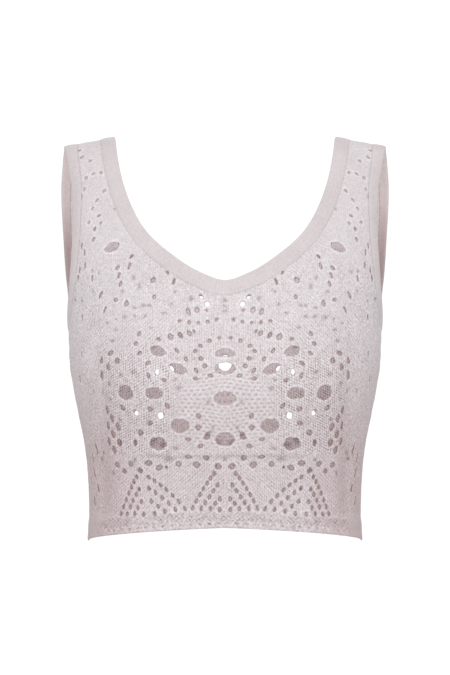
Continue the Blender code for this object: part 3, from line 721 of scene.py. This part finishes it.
def eyelet_shape(eyelet, turn, grow, seed):
    """Across and up of an eyelet's rim about its middle, in metres."""
    if drawn_in(eyelet):
        grow -= min(DRAWN_IN, DRAWN_IN_SHARE * min(eyelet.width, eyelet.height)) * MM
    wide = eyelet.width / 2 * MM + grow
    tall = eyelet.height / 2 * MM + grow
    out = np.cos(turn)
    up = np.sin(turn)
    if eyelet.shape == "drop":
        out = out * (1 - DROP_NARROWING * ((1 + up) / 2) ** DROP_CURVE)
    elif eyelet.shape == "leaf" and wide > tall:
        up = pointed(up, LEAF_POINT)
    elif eyelet.shape == "leaf":
        out = pointed(out, LEAF_POINT)
    elif eyelet.shape == "square":
        out = np.sign(out) * np.abs(out) ** SQUARE_POWER
        up = np.sign(up) * np.abs(up) ** SQUARE_POWER
    elif eyelet.shape == "half moon":
        up = np.where(up < 0, up * MOON_FLATNESS, up) + MOON_BEND * (1 - out**2) - MOON_DROP
    roughness = ROUGHNESS
    if drawn_in(eyelet):
        roughness = SMALL_ROUGHNESS
        if eyelet.shape in ("round", "drop"):
            out = pointed(out, SMALL_POINT)
            up = pointed(up, SMALL_POINT)
            out = out - SMALL_SKEW * up * math.sin(seed)
    if eyelet.across == 0:
        roughness = CENTRE_ROUGHNESS
    lumps = 0.7 * np.sin(3 * turn + 1.7 * seed) + np.sin(5 * turn + seed)
    lumps = lumps + 0.6 * np.sin(8 * turn + 2.3 * seed)
    swell = 1 + roughness * lumps
    return out * wide * swell, up * tall * swell


def eyelet_ring(eyelet, is_front, grow, spacing):
    """Flat places round an eyelet, at a distance outside its rim."""
    run = eyelet.up * MM if is_front else BACK_HEM_RUN - eyelet.up * MM
    angle = CHART.angle_at(eyelet.across * MM, run) if eyelet.across else 0.0
    girth = math.pi * (eyelet.width + eyelet.height) / 2 * MM + 2 * math.pi * grow
    sides = max(2 * round(girth / spacing / 2), 8)
    turn = np.linspace(0, 2 * math.pi, sides, endpoint=False) + math.pi / 2
    seed = eyelet.across * 1.7 + eyelet.up * 0.9
    if eyelet.across == 0:
        seed = math.pi / 2
    out, rise = eyelet_shape(eyelet, turn, grow, seed)
    tilt = math.radians(eyelet.tilt)
    along_angle, along_run = cloth_slopes(angle, run)
    outward = unit(along_angle)
    upward = unit(along_run - outward * (along_run * outward).sum())
    if not is_front:
        upward = -upward
    level_out = out * math.cos(tilt) - rise * math.sin(tilt)
    level_up = out * math.sin(tilt) + rise * math.cos(tilt)
    steps = level_out[:, None] * outward + level_up[:, None] * upward
    return np.stack(moved_on_cloth(angle, run, steps), axis=1)


def closed_hollows(is_front):
    """The closed eyelets of a panel. The back's take up the front's motifs where it has no cut."""
    if is_front:
        return CLOSED_HOLLOWS
    centre, paired = panel_eyelets(False)
    motifs = ROW_OVER_TRIANGLES + ARCH_OVER_CENTRE + ROW_UNDER_NECK + BESIDE_LEAVES
    motifs = motifs + SPRAY_BESIDE_OVALS + list(leg_eyelets(FRONT_TRIANGLE_LEGS))
    motifs = raised(motifs, BACK_RISE) + CHEST_EYELETS[:1] + STRAP_EYELETS

    def clear(row):
        spans = [math.hypot(row[0] - cut.across, row[1] - cut.up) for cut in centre + paired]
        return min(spans) > BACK_CLEAR

    return [row[:4] for row in motifs if clear(row)]


def hollow_depth(hollows, across, up):
    """How deep the closed hollows are at places on the cloth, from 0 to 1."""
    found = np.zeros(len(across))
    for middle, height, wide, tall in hollows:
        reach = (np.abs(across) - middle * MM) / (wide * MM / 2), (up - height * MM) / (tall * MM / 2)
        found = np.maximum(found, np.exp(-(reach[0] ** 2 + reach[1] ** 2) ** 1.5))
    return found


def all_rings(is_front, grow, spacing):
    centre, paired = panel_eyelets(is_front)
    rings = [eyelet_ring(eyelet, is_front, grow, spacing) for eyelet in centre]
    for eyelet in paired:
        ring = eyelet_ring(eyelet, is_front, grow, spacing)
        rings += [ring, twin(ring)]
    return rings


def counterclockwise(loop):
    """The loop of flat points in the turning sense that the triangulation expects."""
    x, y = loop[:, 0], loop[:, 1]
    area = (x * np.roll(y, -1) - np.roll(x, -1) * y).sum()
    return loop if area > 0 else loop[::-1]


def tree_of(points):
    """A search tree over points in space, or over flat ones."""
    tree = KDTree(len(points))
    for index, point in enumerate(points):
        tree.insert((*point, 0)[:3], index)
    tree.balance()
    return tree


def dense(line, step, closed=True):
    """A line of points with more points between them, at most a step apart."""
    found = []
    ends = np.concatenate([line, line[:1]]) if closed else line
    for before, after in zip(ends, ends[1:]):
        count = max(math.ceil(np.linalg.norm(after - before) / step), 1)
        found += [before + (after - before) * index / count for index in range(count)]
    return np.array(found if closed else found + [line[-1]])


def inside_any(points, rings):
    """Which flat points lie inside any of the closed rings."""
    found = np.zeros(len(points), bool)
    for ring in rings:
        low = ring.min(axis=0)
        high = ring.max(axis=0)
        near = np.nonzero(((points > low) & (points < high)).all(axis=1) & ~found)[0]
        if not len(near):
            continue
        x, y = points[near, 0:1], points[near, 1:2]
        ax, ay = ring[:, 0], ring[:, 1]
        bx, by = np.roll(ax, -1), np.roll(ay, -1)
        crosses = ((ay > y) != (by > y)) & (x < (bx - ax) * (y - ay) / (by - ay + 1e-15) + ax)
        found[near] = crosses.sum(axis=1) % 2 == 1
    return found


def far_enough(places, tree, distance):
    """Which flat places are farther than a distance in metres from those of a tree."""
    return np.array([tree.find((x, y, 0))[2] > distance for x, y in places])


def cut_panel(is_front, edges):
    """Flat places and triangles of a panel with every eyelet cut out."""
    outline = panel_outline(edges) * FLAT_SCALE
    rims = [ring * FLAT_SCALE for ring in all_rings(is_front, 0, RIM_STEP * MM)]
    collars = []
    for grow in COLLARS:
        collars += all_rings(is_front, grow * MM, COLLAR_STEP * MM)
    for row in closed_hollows(is_front):
        ring = eyelet_ring(Eyelet(*row), is_front, 0, HOLLOW_STEP * MM)
        collars += [ring, twin(ring), ring.mean(axis=0)[None]]
    cuts = np.concatenate([dense(outline, MM)] + [dense(rim, 0.5 * MM) for rim in rims])
    cut_tree = tree_of(cuts)
    collar = np.concatenate(collars) * FLAT_SCALE
    collar = collar[~inside_any(collar, rims)]
    collar = collar[far_enough(collar, cut_tree, COLLAR_CLEAR * MM)]
    columns = math.ceil(math.radians(90) * FLAT_RADIUS / CLOTH_STEP)
    row_step = CLOTH_STEP * math.sqrt(0.75)
    rows = math.ceil(BACK_HEM_RUN / row_step)
    row, column = np.mgrid[0:rows, -columns : columns + 1]
    loose = np.stack([(column + 0.5 * (row % 2)) * CLOTH_STEP, row * row_step], axis=-1)
    loose = loose.reshape(-1, 2)
    loose = loose[inside_any(loose, [outline]) & ~inside_any(loose, rims)]
    loose = loose[far_enough(loose, cut_tree, CLEAR_OF_CUTS)]
    loose = loose[far_enough(loose, tree_of(collar), LOOSE_CLEAR * MM)]
    loops = [counterclockwise(loop) for loop in [outline] + rims]
    faces = []
    start = 0
    for loop in loops:
        faces.append(list(range(start, start + len(loop))))
        start += len(loop)
    points = [Vector(point) for point in np.concatenate(loops + [collar, loose])]
    cloth = delaunay_2d_cdt(points, [], faces, 1, 1e-7, True)
    triangles = np.array([face for face, within in zip(cloth[2], cloth[5]) if within == [0]])
    used, triangles = np.unique(triangles, return_inverse=True)
    places = np.array([cloth[0][index] for index in used]) / FLAT_SCALE
    return places, triangles.reshape(-1, 3), rims


def distance_to(points, lines):
    """How far each point in space is from the nearest point of some lines."""
    tree = tree_of(np.concatenate(lines))
    return np.array([tree.find(point)[2] for point in points])


def step_up(value, low, high):
    """0 below low, 1 above high, and smooth between them."""
    share = np.clip((value - low) / (high - low), 0, 1)
    return share * share * (3 - 2 * share)


def past(distance, low, high):
    """The same for a distance in metres, between two in mm."""
    return step_up(distance / MM, low, high)


def bell(distance, reach):
    """1 where a distance in metres is 0, and less away from there, over a reach in mm."""
    return np.exp(-((distance / (reach * MM)) ** 2))


def relief(distance, form):
    """A soft ridge that follows a distance in metres, or a dip where its rise is negative."""
    rise, middle, reach = form
    return rise * MM * bell(distance - middle * MM, reach)


def add_values(mesh, name, values):
    """Keeps one number for each vertex, for the yarn's finish to read."""
    layer = mesh.attributes.new(name, "FLOAT", "POINT")
    layer.data.foreach_set("value", np.asarray(values, np.float32))


def add_uv(mesh, name, across, up):
    """A flat pattern layout in metres, so that stitches keep their size on the cloth."""
    layer = mesh.uv_layers.new(name=name)
    corners = np.empty(len(mesh.loops), np.int32)
    mesh.loops.foreach_get("vertex_index", corners)
    layout = np.stack([across[corners], up[corners]], axis=1)
    layer.data.foreach_set("uv", layout.astype(np.float32).ravel())


def placed(name, data):
    """A new object of the scene."""
    made = bpy.data.objects.new(name, data)
    bpy.context.scene.collection.objects.link(made)
    return made


def lace_measures(is_front, edges, places, rims):
    """What the relief and the finish of a panel follow at each of its points, in metres."""
    angles, runs = places.T
    points = in_space(places)

    def to_edges(*names):
        lines = [in_space(half) for name in names for half in (edges[name], twin(edges[name]))]
        return distance_to(points, [dense(line, 0.8 * MM, False) for line in lines])

    def to_rims(are_small):
        chosen = [rim for rim, is_small in zip(rims, small) if is_small == are_small]
        return distance_to(points, [in_space(dense(rim, 0.4 * MM) / FLAT_SCALE) for rim in chosen])

    centre, paired = panel_eyelets(is_front)
    small = [drawn_in(eyelet) for eyelet in centre]
    small += [drawn_in(eyelet) for eyelet in paired for side in ("left", "right")]
    here = SimpleNamespace()
    here.across = CHART.across_at(angles, runs)
    here.far = np.abs(here.across)
    here.up = runs if is_front else BACK_HEM_RUN - runs
    here.above_hem = np.abs(runs - hem_run(angles, is_front))
    here.to_band_seam = to_edges("neck", "armhole")
    here.to_plain_seam = to_edges("shoulder", "side")
    here.to_small = to_rims(True)
    here.to_large = to_rims(False)
    here.to_rim = np.minimum(here.to_small, here.to_large)
    here.border = 1 - past(here.above_hem, *BORDER_EDGE)
    here.closed = hollow_depth(closed_hollows(is_front), here.across, here.up)
    wander, short, long = LEDGE_WANDER
    place = here.across / MM
    ledge_up = LEDGE_UP + wander * np.sin(place / short) * np.sin(place / long + 1)
    over_ledge = here.up - ledge_up * MM
    on_ledge = (1 - past(here.far, *LEDGE_ENDS)) * float(is_front)
    here.ledge = bell(over_ledge, LEDGE_RIDGE[1]) * on_ledge
    here.under_ledge = bell(over_ledge + LEDGE_DIP_BELOW * MM, LEDGE_DIP[1]) * on_ledge
    return here


def lace_height(here):
    """How far the knitted relief stands off the form."""
    height = relief(here.to_rim, RIM_RIDGE)
    height += relief(here.to_small, SMALL_FUNNEL) + relief(here.to_large, LARGE_FUNNEL)
    height += relief(here.to_band_seam, BAND_SEAM_DIP)
    height += relief(here.to_plain_seam, PLAIN_SEAM_DIP)
    height += relief(here.above_hem, HEM_FOLD)
    height += (BORDER_RISE * here.border - CLOSED_DEPTH * here.closed) * MM
    height += (LEDGE_RIDGE[0] * here.ledge - LEDGE_DIP[0] * here.under_ledge) * MM
    wide, tall = PUCKER_SIZE
    spots = zip(here.far / MM / wide, here.up / MM / tall)
    puckers = np.array([noise.noise(Vector((x, y, 3.1))) for x, y in spots])
    height += PUCKER_RISE * MM * puckers * past(here.to_band_seam, 0, 5)
    low_side = (1 - past(here.up, *CREASE_HIGH)) * past(here.above_hem, *CREASE_LOW)
    creases = relief(here.far, SIDE_CREASE) + relief(here.far, SIDE_SWELL)
    return height + creases * low_side


def lace_fields(here):
    """The numbers that the yarn's finish reads at each point, by name."""
    far, up = here.far, here.up
    wide, tall = DASHES_OVAL
    oval = np.sqrt((far / (wide * MM)) ** 2 + ((up - DASHES_UP * MM) / (tall * MM)) ** 2)
    slant = past(far, *SLANT_OUT) * (1 - past(far, *SLANT_END))
    chest = 0.6 * past(up, *SMOOTH_CHEST) + 0.2 * past(up, *SMOOTH_TOP)
    smooth = 0.8 * np.maximum(past(far, *SMOOTH_SIDES), bell(here.to_band_seam, 3.5))
    # Painted shade in and round the small eyelets, halved high up, and a little round the large ones
    small_eyelet_shade = bell(here.to_small, 0.8) * (1 - 0.5 * past(up, *LESS_EYELET_SHADE_UP))
    return {
        "dashes": 1 - step_up(oval, *DASHES_EDGE),
        "slant": slant * past(up, *SLANT_LOW) * (1 - past(up, *SLANT_HIGH)),
        "smooth": np.maximum(smooth, chest),
        "aside": past(far, *ASIDE_OUT) * (1 - past(up, *ASIDE_HIGH)),
        "strap": past(up, *STRAP_UP),
        "columns": past(up, *COLUMNS_UP) * (1 - past(far, *COLUMNS_END)),
        "border": here.border,
        "above_hem": here.above_hem,
        # a ring round each eyelet, where the stitches show less and the yarn takes a painted
        # highlight
        "rim": bell(here.to_rim - 1.5 * MM, 0.7),
        "hollow": np.maximum(small_eyelet_shade, 0.3 * bell(here.to_large, 0.35)),
        # painted shade in the closed hollows, under the course below the bust and a little on it
        "hollow_and_ledge_shade": here.closed + 0.4 * here.under_ledge + 0.2 * here.ledge,
        # painted shade, darker and warmer towards the lower sides
        "low": (1 - past(up, *LOW_SHADE_HIGH)) * (0.4 + 0.6 * past(far, *LOW_SHADE_OUT)),
    }


def lace_panel(name, is_front):
    """One knitted lace panel: its flat cut, wrapped on the form, with its knitted relief."""
    edges = panel_edges(is_front)
    places, triangles, rims = cut_panel(is_front, edges)
    here = lace_measures(is_front, edges, places, rims)
    points = in_space(places) + cloth_normals(*places.T) * lace_height(here)[:, None]
    mesh = bpy.data.meshes.new(name)
    mesh.from_pydata(points.tolist(), [], triangles.tolist())
    mesh.shade_smooth()
    add_uv(mesh, "cloth", here.across, here.up)
    for field, values in lace_fields(here).items():
        add_values(mesh, field, values)
    piece = placed(name, mesh)
    wall = piece.vertex_groups.new(name="wall")
    thin = 1 - 0.62 * np.maximum(bell(here.to_rim, 0.35), bell(here.above_hem, 0.5))
    for index, weight in enumerate(thin.tolist()):
        wall.add([index], weight, "REPLACE")
    solidify = piece.modifiers.new("wall", "SOLIDIFY")
    solidify.thickness = PANEL_WALL
    solidify.offset = -1
    solidify.vertex_group = "wall"
    return piece


def band_section(width):
    """Distance from the free edge and height off the form, once round a band's section."""
    radius = BAND_WALL / 2
    top = BAND_TOP * MM
    inner = top - BAND_WALL
    section = []
    for step in range(7):
        turn = math.radians(-90 + 30 * step)
        section.append((radius - radius * math.cos(turn), top - radius + radius * math.sin(turn)))
    for step in range(1, 10):
        share = step / 10
        fall = BAND_FALL * MM * (2 * max(share - 0.5, 0)) ** 2
        crown = top - fall + BAND_SWELL * MM * math.sin(math.pi * share)
        section.append((radius + (width - radius) * share, crown))
    section += [(width - short * MM, height * MM) for short, height in BAND_LIP]
    section.append((width - BAND_INNER_CORNER * MM, inner))
    for step in range(1, 5):
        section.append((width - (width - radius) * step / 5, inner))
    return section


def knitted_band(name, flat, away, width):
    """A knitted band in a ring, swept along a free edge, with a soft fold on that edge."""
    section = band_section(width)
    section.append(section[0])
    rows = []
    for distance, height in section:
        place = offset_row(flat, away, distance)
        rows.append(in_space(place) + cloth_normals(place[:, 0], place[:, 1]) * height)
    length = np.linalg.norm(np.diff(rows[7], axis=0), axis=1).sum()
    girth = sum(math.dist(before, after) for before, after in zip(section, section[1:]))
    mesh = bmesh.new()
    mesh.loops.layers.uv.new("cloth")
    inside = mesh.verts.layers.float.new("inside")
    bmesh.ops.create_grid(
        mesh, x_segments=len(flat) - 1, y_segments=len(section) - 1, size=1, calc_uvs=True
    )
    heights = np.repeat([height for distance, height in section], len(flat))
    for vert, point, height in zip(mesh.verts, np.concatenate(rows), heights):
        vert.co = point
        vert[inside] = float(height < -0.6 * MM)
    layout = mesh.loops.layers.uv.active
    for face in mesh.faces:
        for loop in face.loops:
            loop[layout].uv = (loop[layout].uv.x * length, loop[layout].uv.y * girth)
    bmesh.ops.remove_doubles(mesh, verts=mesh.verts, dist=0.02 * MM)
    bmesh.ops.recalc_face_normals(mesh, faces=mesh.faces)
    for face in mesh.faces:
        face.smooth = True
    data = bpy.data.meshes.new(name)
    mesh.to_mesh(data)
    mesh.free()
    return placed(name, data)


def mirrored(flat, away):
    """The same edge on the other side of the centre line."""
    return twin(flat), away * np.array([-1, 1, 1])


def neckband():
    """The neckband's ring, from the centre front up the left side and back on the right."""
    flat, away = NECK_HALF
    right_flat, right_away = mirrored(flat[-2::-1], away[-2::-1])
    flat = np.concatenate([flat, right_flat])
    away = np.concatenate([away, right_away])
    return knitted_band("knit_neckband", flat, away, NECKBAND_WIDTH)


def operation(kind, turned=False):
    """A method that works out one operation on a number, and on another if it needs one."""

    def method(number, *others):
        values = (*others, number) if turned else (number, *others)
        return number.finish.sum(kind, *values)

    return method


class Number:
    """A number that varies over a surface, so that a pattern is written as plain sums."""

    def __init__(self, finish, socket):
        self.finish = finish
        self.socket = socket

    __add__ = __radd__ = operation("ADD")
    __sub__ = operation("SUBTRACT")
    __rsub__ = operation("SUBTRACT", turned=True)
    __mul__ = __rmul__ = operation("MULTIPLY")
    __truediv__ = operation("DIVIDE")
    __abs__ = operation("ABSOLUTE")
    sine = operation("SINE")
    whole = operation("FLOOR")
    part = operation("FRACT")
    least = operation("MINIMUM")
    most = operation("MAXIMUM")

    def odd(self):
        """1 in every other whole number and 0 between them."""
        return self.finish.sum("MODULO", self.whole() + 1000, 2)

    def wave(self):
        """A ripple from 0 to 1, once for each whole number."""
        return (self * (2 * math.pi)).sine() * 0.5 + 0.5

    def between(self, low, high):
        """0 below low, 1 above high, and smooth between them."""
        made = self.finish.node(
            "ShaderNodeMapRange",
            {"interpolation_type": "SMOOTHSTEP"},
            {"Value": self, "From Min": low, "From Max": high},
        )
        return Number(self.finish, made.outputs["Result"])


class Finish:
    """A material whose pattern is made of nodes."""

    def __init__(self, name):
        self.material = bpy.data.materials.new(name)
        self.material.use_nodes = True
        self.tree = self.material.node_tree
        self.shader = self.tree.nodes["Principled BSDF"]

    def node(self, kind, settings, values):
        """Adds a node: its settings first, then the values or links of its sockets."""
        made = self.tree.nodes.new(kind)
        for key, value in settings.items():
            setattr(made, key, value)
        for key, value in values.items():
            self.put(made.inputs[key], value)
        return made

    def put(self, socket, value):
        """Gives a socket a plain value, or joins a varying one to it."""
        if isinstance(value, Number):
            value = value.socket
        if isinstance(value, bpy.types.NodeSocket):
            self.tree.links.new(value, socket)
        else:
            socket.default_value = value

    def sum(self, kind, *values):
        made = self.node("ShaderNodeMath", {"operation": kind}, dict(enumerate(values)))
        return Number(self, made.outputs["Value"])

    def parts(self, vector):
        """The first three numbers of a varying vector."""
        made = self.node("ShaderNodeSeparateXYZ", {}, {"Vector": vector})
        return [Number(self, made.outputs[axis]) for axis in "XYZ"]

    def along_cloth(self):
        """Metres across and up the piece's own flat layout."""
        layout = self.node("ShaderNodeUVMap", {"uv_map": "cloth"}, {})
        return self.parts(layout.outputs["UV"])[:2]

    def place(self):
        """Metres from the object's origin."""
        return self.node("ShaderNodeTexCoord", {}, {}).outputs["Object"]

    def kept(self, name):
        """A number that the mesh keeps at each of its points."""
        made = self.node("ShaderNodeAttribute", {"attribute_name": name}, {})
        return Number(self, made.outputs["Fac"])

    def fuzz(self, scale, detail):
        """Soft irregular spots from 0 to 1, about as many to a metre as the scale says."""
        values = {"Vector": self.place(), "Scale": scale, "Detail": detail, "Roughness": 0.6}
        made = self.node("ShaderNodeTexNoise", {}, values)
        return Number(self, made.outputs["Fac"])

    def mix(self, share, first, second, blend="MIX"):
        """A varying colour between a first and a second one, or darkened by the second as painted
        shade.
        """
        settings = {"data_type": "RGBA", "blend_type": blend}
        made = self.node("ShaderNodeMix", settings, {0: share, 6: first, 7: (*second, 1)})
        return made.outputs[2]

    def knitted(self, height, colour, depth):
        """Gives the shader its colour and a soft, matt, slightly fuzzy surface."""
        bump = self.node("ShaderNodeBump", {}, {"Height": height, "Distance": depth, "Strength": 1})
        surface = {"Normal": bump.outputs["Normal"], "Base Color": colour, **YARN_SURFACE}
        for name, value in surface.items():
            self.put(self.shader.inputs[name], value)
        return self.material


def dots(across, up, wide, tall):
    """Staggered small hollows between the yarns: 0 in a hollow and 1 on the yarn."""
    return 0.5 - (across * (2 * math.pi / wide)).sine() * (up * (math.pi / tall)).sine() * 0.5


def plain_knit(across, up, columns):
    """Columns of stitches, two yarns to a column, whose hollows line up in slanted rows.

    Where columns is 1, the yarns show more and the slanted rows less.
    """
    yarns = (across / (STITCH_WIDTH * YARN_SHARE)).wave()
    rows = (across / STITCH_WIDTH + up / STITCH_HEIGHT).wave()
    return yarns * (columns * 0.1 + 0.45) + rows * (0.55 - columns * 0.4) + columns * 0.15


def purl_dashes(across, up):
    """Short level hollows in offset rows, which bend round the oval in the middle."""
    wide, tall = DASH_PITCH
    reach_out, reach_up = DASH_BEND_REACH
    aside = across / reach_out
    over = ((up - DASH_BEND_UP) / reach_up).most(-1).least(1)
    row = (up - over * DASH_BEND / (aside * aside + 1)) / tall
    column = across / wide + row.odd() * 0.5
    level = 1 - abs(column.part() - 0.5).between(0.16, 0.44)
    return 0.75 - level * (1 - abs(row.part() - 0.5).between(0.05, 0.42)) * 0.56


def slanted_rows(across, up):
    """Rows of small hollows that rise outwards."""
    out, rise = math.cos(SLANT_ANGLE), math.sin(SLANT_ANGLE)
    aside = across * out + up * rise
    along = up * out - across * rise
    return dots(aside, along, *SLANT_PITCH) * 1.15 - 0.08


def hem_stitches(across, above_hem):
    """A row of wider hollows near the hem's edge, with small staggered ones over it."""
    small = dots(across, above_hem, *HEM_PITCH)
    reach = above_hem.between(*HEM_ROWS_FROM) * (1 - above_hem.between(*HEM_ROWS_TO))
    lower = 1 - abs(above_hem - HEM_WIDE_UP).between(*HEM_WIDE_EDGE)
    wide = (across / HEM_WIDE_PITCH).wave().between(0.3, 0.9)
    return 0.7 - reach * (1 - small) * 0.6 - lower * wide * 0.5


def lace_finish():
    """Pale yarn, with each field of the lace in its own stitch."""
    finish = Finish("lace_yarn")
    across, up = finish.along_cloth()
    dashes = finish.kept("dashes")
    slant = finish.kept("slant")
    border = finish.kept("border")
    rim = finish.kept("rim")
    even = finish.kept("smooth")
    wander = finish.fuzz(70, 2) - 0.5
    place = abs(across) + wander * (2.4 * MM)
    rise = up + wander * (2.8 * MM)
    plain = plain_knit(place, rise, finish.kept("columns"))
    field = plain + (purl_dashes(across, up) - plain) * dashes
    field = field + (slanted_rows(place, rise) - field) * slant
    hem = hem_stitches(across, finish.kept("above_hem"))
    field = field + (hem - field) * border
    coarse = slant.most(dashes).most(border).most(finish.kept("aside")) * 0.3 + 0.7
    hairs = finish.fuzz(560, 2)
    uneven = finish.fuzz(190, 2).between(0.32, 0.68)
    clear = (1 - rim * 0.5) * (1 - even * 0.9)
    broken = 0.8 + (uneven * 1.05 - 0.55) * (1 - dashes * 0.65)
    field = 0.62 + (field - 0.62) * broken * clear * coarse
    blotches = finish.fuzz(48, 3) - 0.5
    calm = (1 - even * border * 0.8) * (1 - finish.kept("strap") * 0.35)
    calm = calm * (1 - dashes * 0.35)
    # The stitch field darkens the yarns' hollows towards the deep colour as painted shade; hairs and
    # blotches vary the tone at random.
    light = 0.24 + field * 0.72 + (hairs - 0.5) * 1.5 * coarse * calm + blotches * 0.22
    # The closed hollows and the course under the bust take painted shade.
    # The rings round the eyelets take a painted highlight.
    light = light + rim * (0.1 + uneven * 0.2) - finish.kept("hollow_and_ledge_shade") * 0.42
    yarn = finish.mix(light, (*LACE_DEEP, 1), LACE_LIGHT)
    # Painted shade on the lower sides
    yarn = finish.mix(finish.kept("low"), yarn, LACE_LOW_SHADE, "MULTIPLY")
    # Painted shade round the eyelets
    yarn = finish.mix(finish.kept("hollow"), yarn, LACE_EYELET_SHADE, "MULTIPLY")
    return finish.knitted(field * 0.6 + hairs * 0.4, yarn, 0.4 * MM)


def band_finish():
    """The same yarn in a smooth, close plain knit."""
    finish = Finish("band_yarn")
    along, around = finish.along_cloth()
    rib = (along / BAND_RIB).wave()
    stitch = rib * 0.6 + (around / STITCH_HEIGHT).wave() * 0.2
    hairs = finish.fuzz(500, 2)
    # The ribs' hollows take painted shade towards the deep colour; hairs and spots vary the tone at
    # random.
    light = stitch * 0.3 + (hairs - 0.5) * 0.8 + finish.fuzz(45, 3) * 0.6
    height = finish.parts(finish.place())[2]
    # Painted shade on the band's inside, below the given heights
    shaded_inside = finish.kept("inside") * (1 - height.between(*BAND_SHADE_HEIGHTS))
    yarn = finish.mix(light, (*BAND_DEEP, 1), BAND_LIGHT)
    yarn = finish.mix(shaded_inside, yarn, BAND_INSIDE_SHADE, "MULTIPLY")
    return finish.knitted(stitch * 0.6 + hairs * 0.4, yarn, 0.15 * MM)


def shown_as(piece, material, node):
    """Gives a piece its yarn, hangs it from the root and hides the node of the frame that it takes
    the place of.
    """
    piece.data.materials.append(material)
    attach(piece, "root")
    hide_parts(node)


def camera():
    """At the photo's view angle: level and straight in front."""
    data = bpy.data.cameras.new("camera")
    data.sensor_width = 36
    data.lens = LENS
    eye = placed("camera", data)
    eye.location = CAMERA_PLACE
    eye.rotation_euler = (math.radians(90), 0, 0)
    bpy.context.scene.camera = eye


def lamp(kind, name, place, power, colour):
    """A new lamp of a kind."""
    data = bpy.data.lights.new(name, kind)
    data.energy = power
    data.color = colour
    made = placed(name, data)
    made.location = place
    return made


def soft_light(name, place, power):
    """A broad studio light that faces the top's middle."""
    made = lamp("AREA", name, place, power, LIGHT_COLOUR)
    made.data.shape = "DISK"
    made.data.size = LIGHT_SIZE
    made.rotation_euler = (TOP_MIDDLE - Vector(place)).to_track_quat("-Z", "Y").to_euler()


def inner_glow(name, place, power):
    """The light that comes through the knitted cloth and brightens its inside."""
    made = lamp("POINT", name, place, power, GLOW_COLOUR)
    made.data.shadow_soft_size = GLOW_SIZE
    made.visible_camera = False


def studio():
    """A white surround, a pale floor well below the hem, and soft light from the front."""
    world = bpy.data.worlds.new("studio")
    world.use_nodes = True
    bpy.context.scene.world = world
    nodes = world.node_tree.nodes
    links = world.node_tree.links
    seen = nodes.new("ShaderNodeLightPath")
    around = nodes["Background"]
    around.inputs["Color"].default_value = (1.0, 0.985, 0.985, 1)
    around.inputs["Strength"].default_value = AROUND_LIGHT
    behind = nodes.new("ShaderNodeBackground")
    behind.inputs["Color"].default_value = (1, 1, 1, 1)
    behind.inputs["Strength"].default_value = BEHIND_LIGHT
    either = nodes.new("ShaderNodeMixShader")
    links.new(seen.outputs["Is Camera Ray"], either.inputs[0])
    links.new(around.outputs[0], either.inputs[1])
    links.new(behind.outputs[0], either.inputs[2])
    links.new(either.outputs[0], nodes["World Output"].inputs["Surface"])
    for row in SOFT_LIGHTS:
        soft_light(*row)
    for row in INNER_GLOWS:
        inner_glow(*row)
    mesh = bmesh.new()
    bmesh.ops.create_circle(mesh, cap_ends=True, segments=96, radius=FLOOR_RADIUS)
    bmesh.ops.translate(mesh, verts=mesh.verts, vec=(0, 0, FLOOR_HEIGHT))
    data = bpy.data.meshes.new("floor")
    mesh.to_mesh(data)
    mesh.free()
    floor = placed("floor", data)
    paper = Finish("floor_paper")
    paper.put(paper.shader.inputs["Base Color"], (0.9, 0.9, 0.9, 1))
    paper.put(paper.shader.inputs["Roughness"], 0.9)
    data.materials.append(paper.material)
    bpy.context.scene.view_settings.view_transform = "Standard"


camera()
studio()
lace = lace_finish()
yarn = band_finish()
front = lace_panel("knit_front", True)
back = lace_panel("knit_back", False)
neck = neckband()
left = knitted_band("knit_armhole_left", *ARMHOLE_WHOLE, ARMHOLE_BAND_WIDTH)
right = knitted_band("knit_armhole_right", *mirrored(*ARMHOLE_WHOLE), ARMHOLE_BAND_WIDTH)
shown_as(front, lace, "front_panel")
shown_as(back, lace, "back_panel")
shown_as(neck, yarn, "neckband")
shown_as(left, yarn, "armhole_band_left")
shown_as(right, yarn, "armhole_band_right")
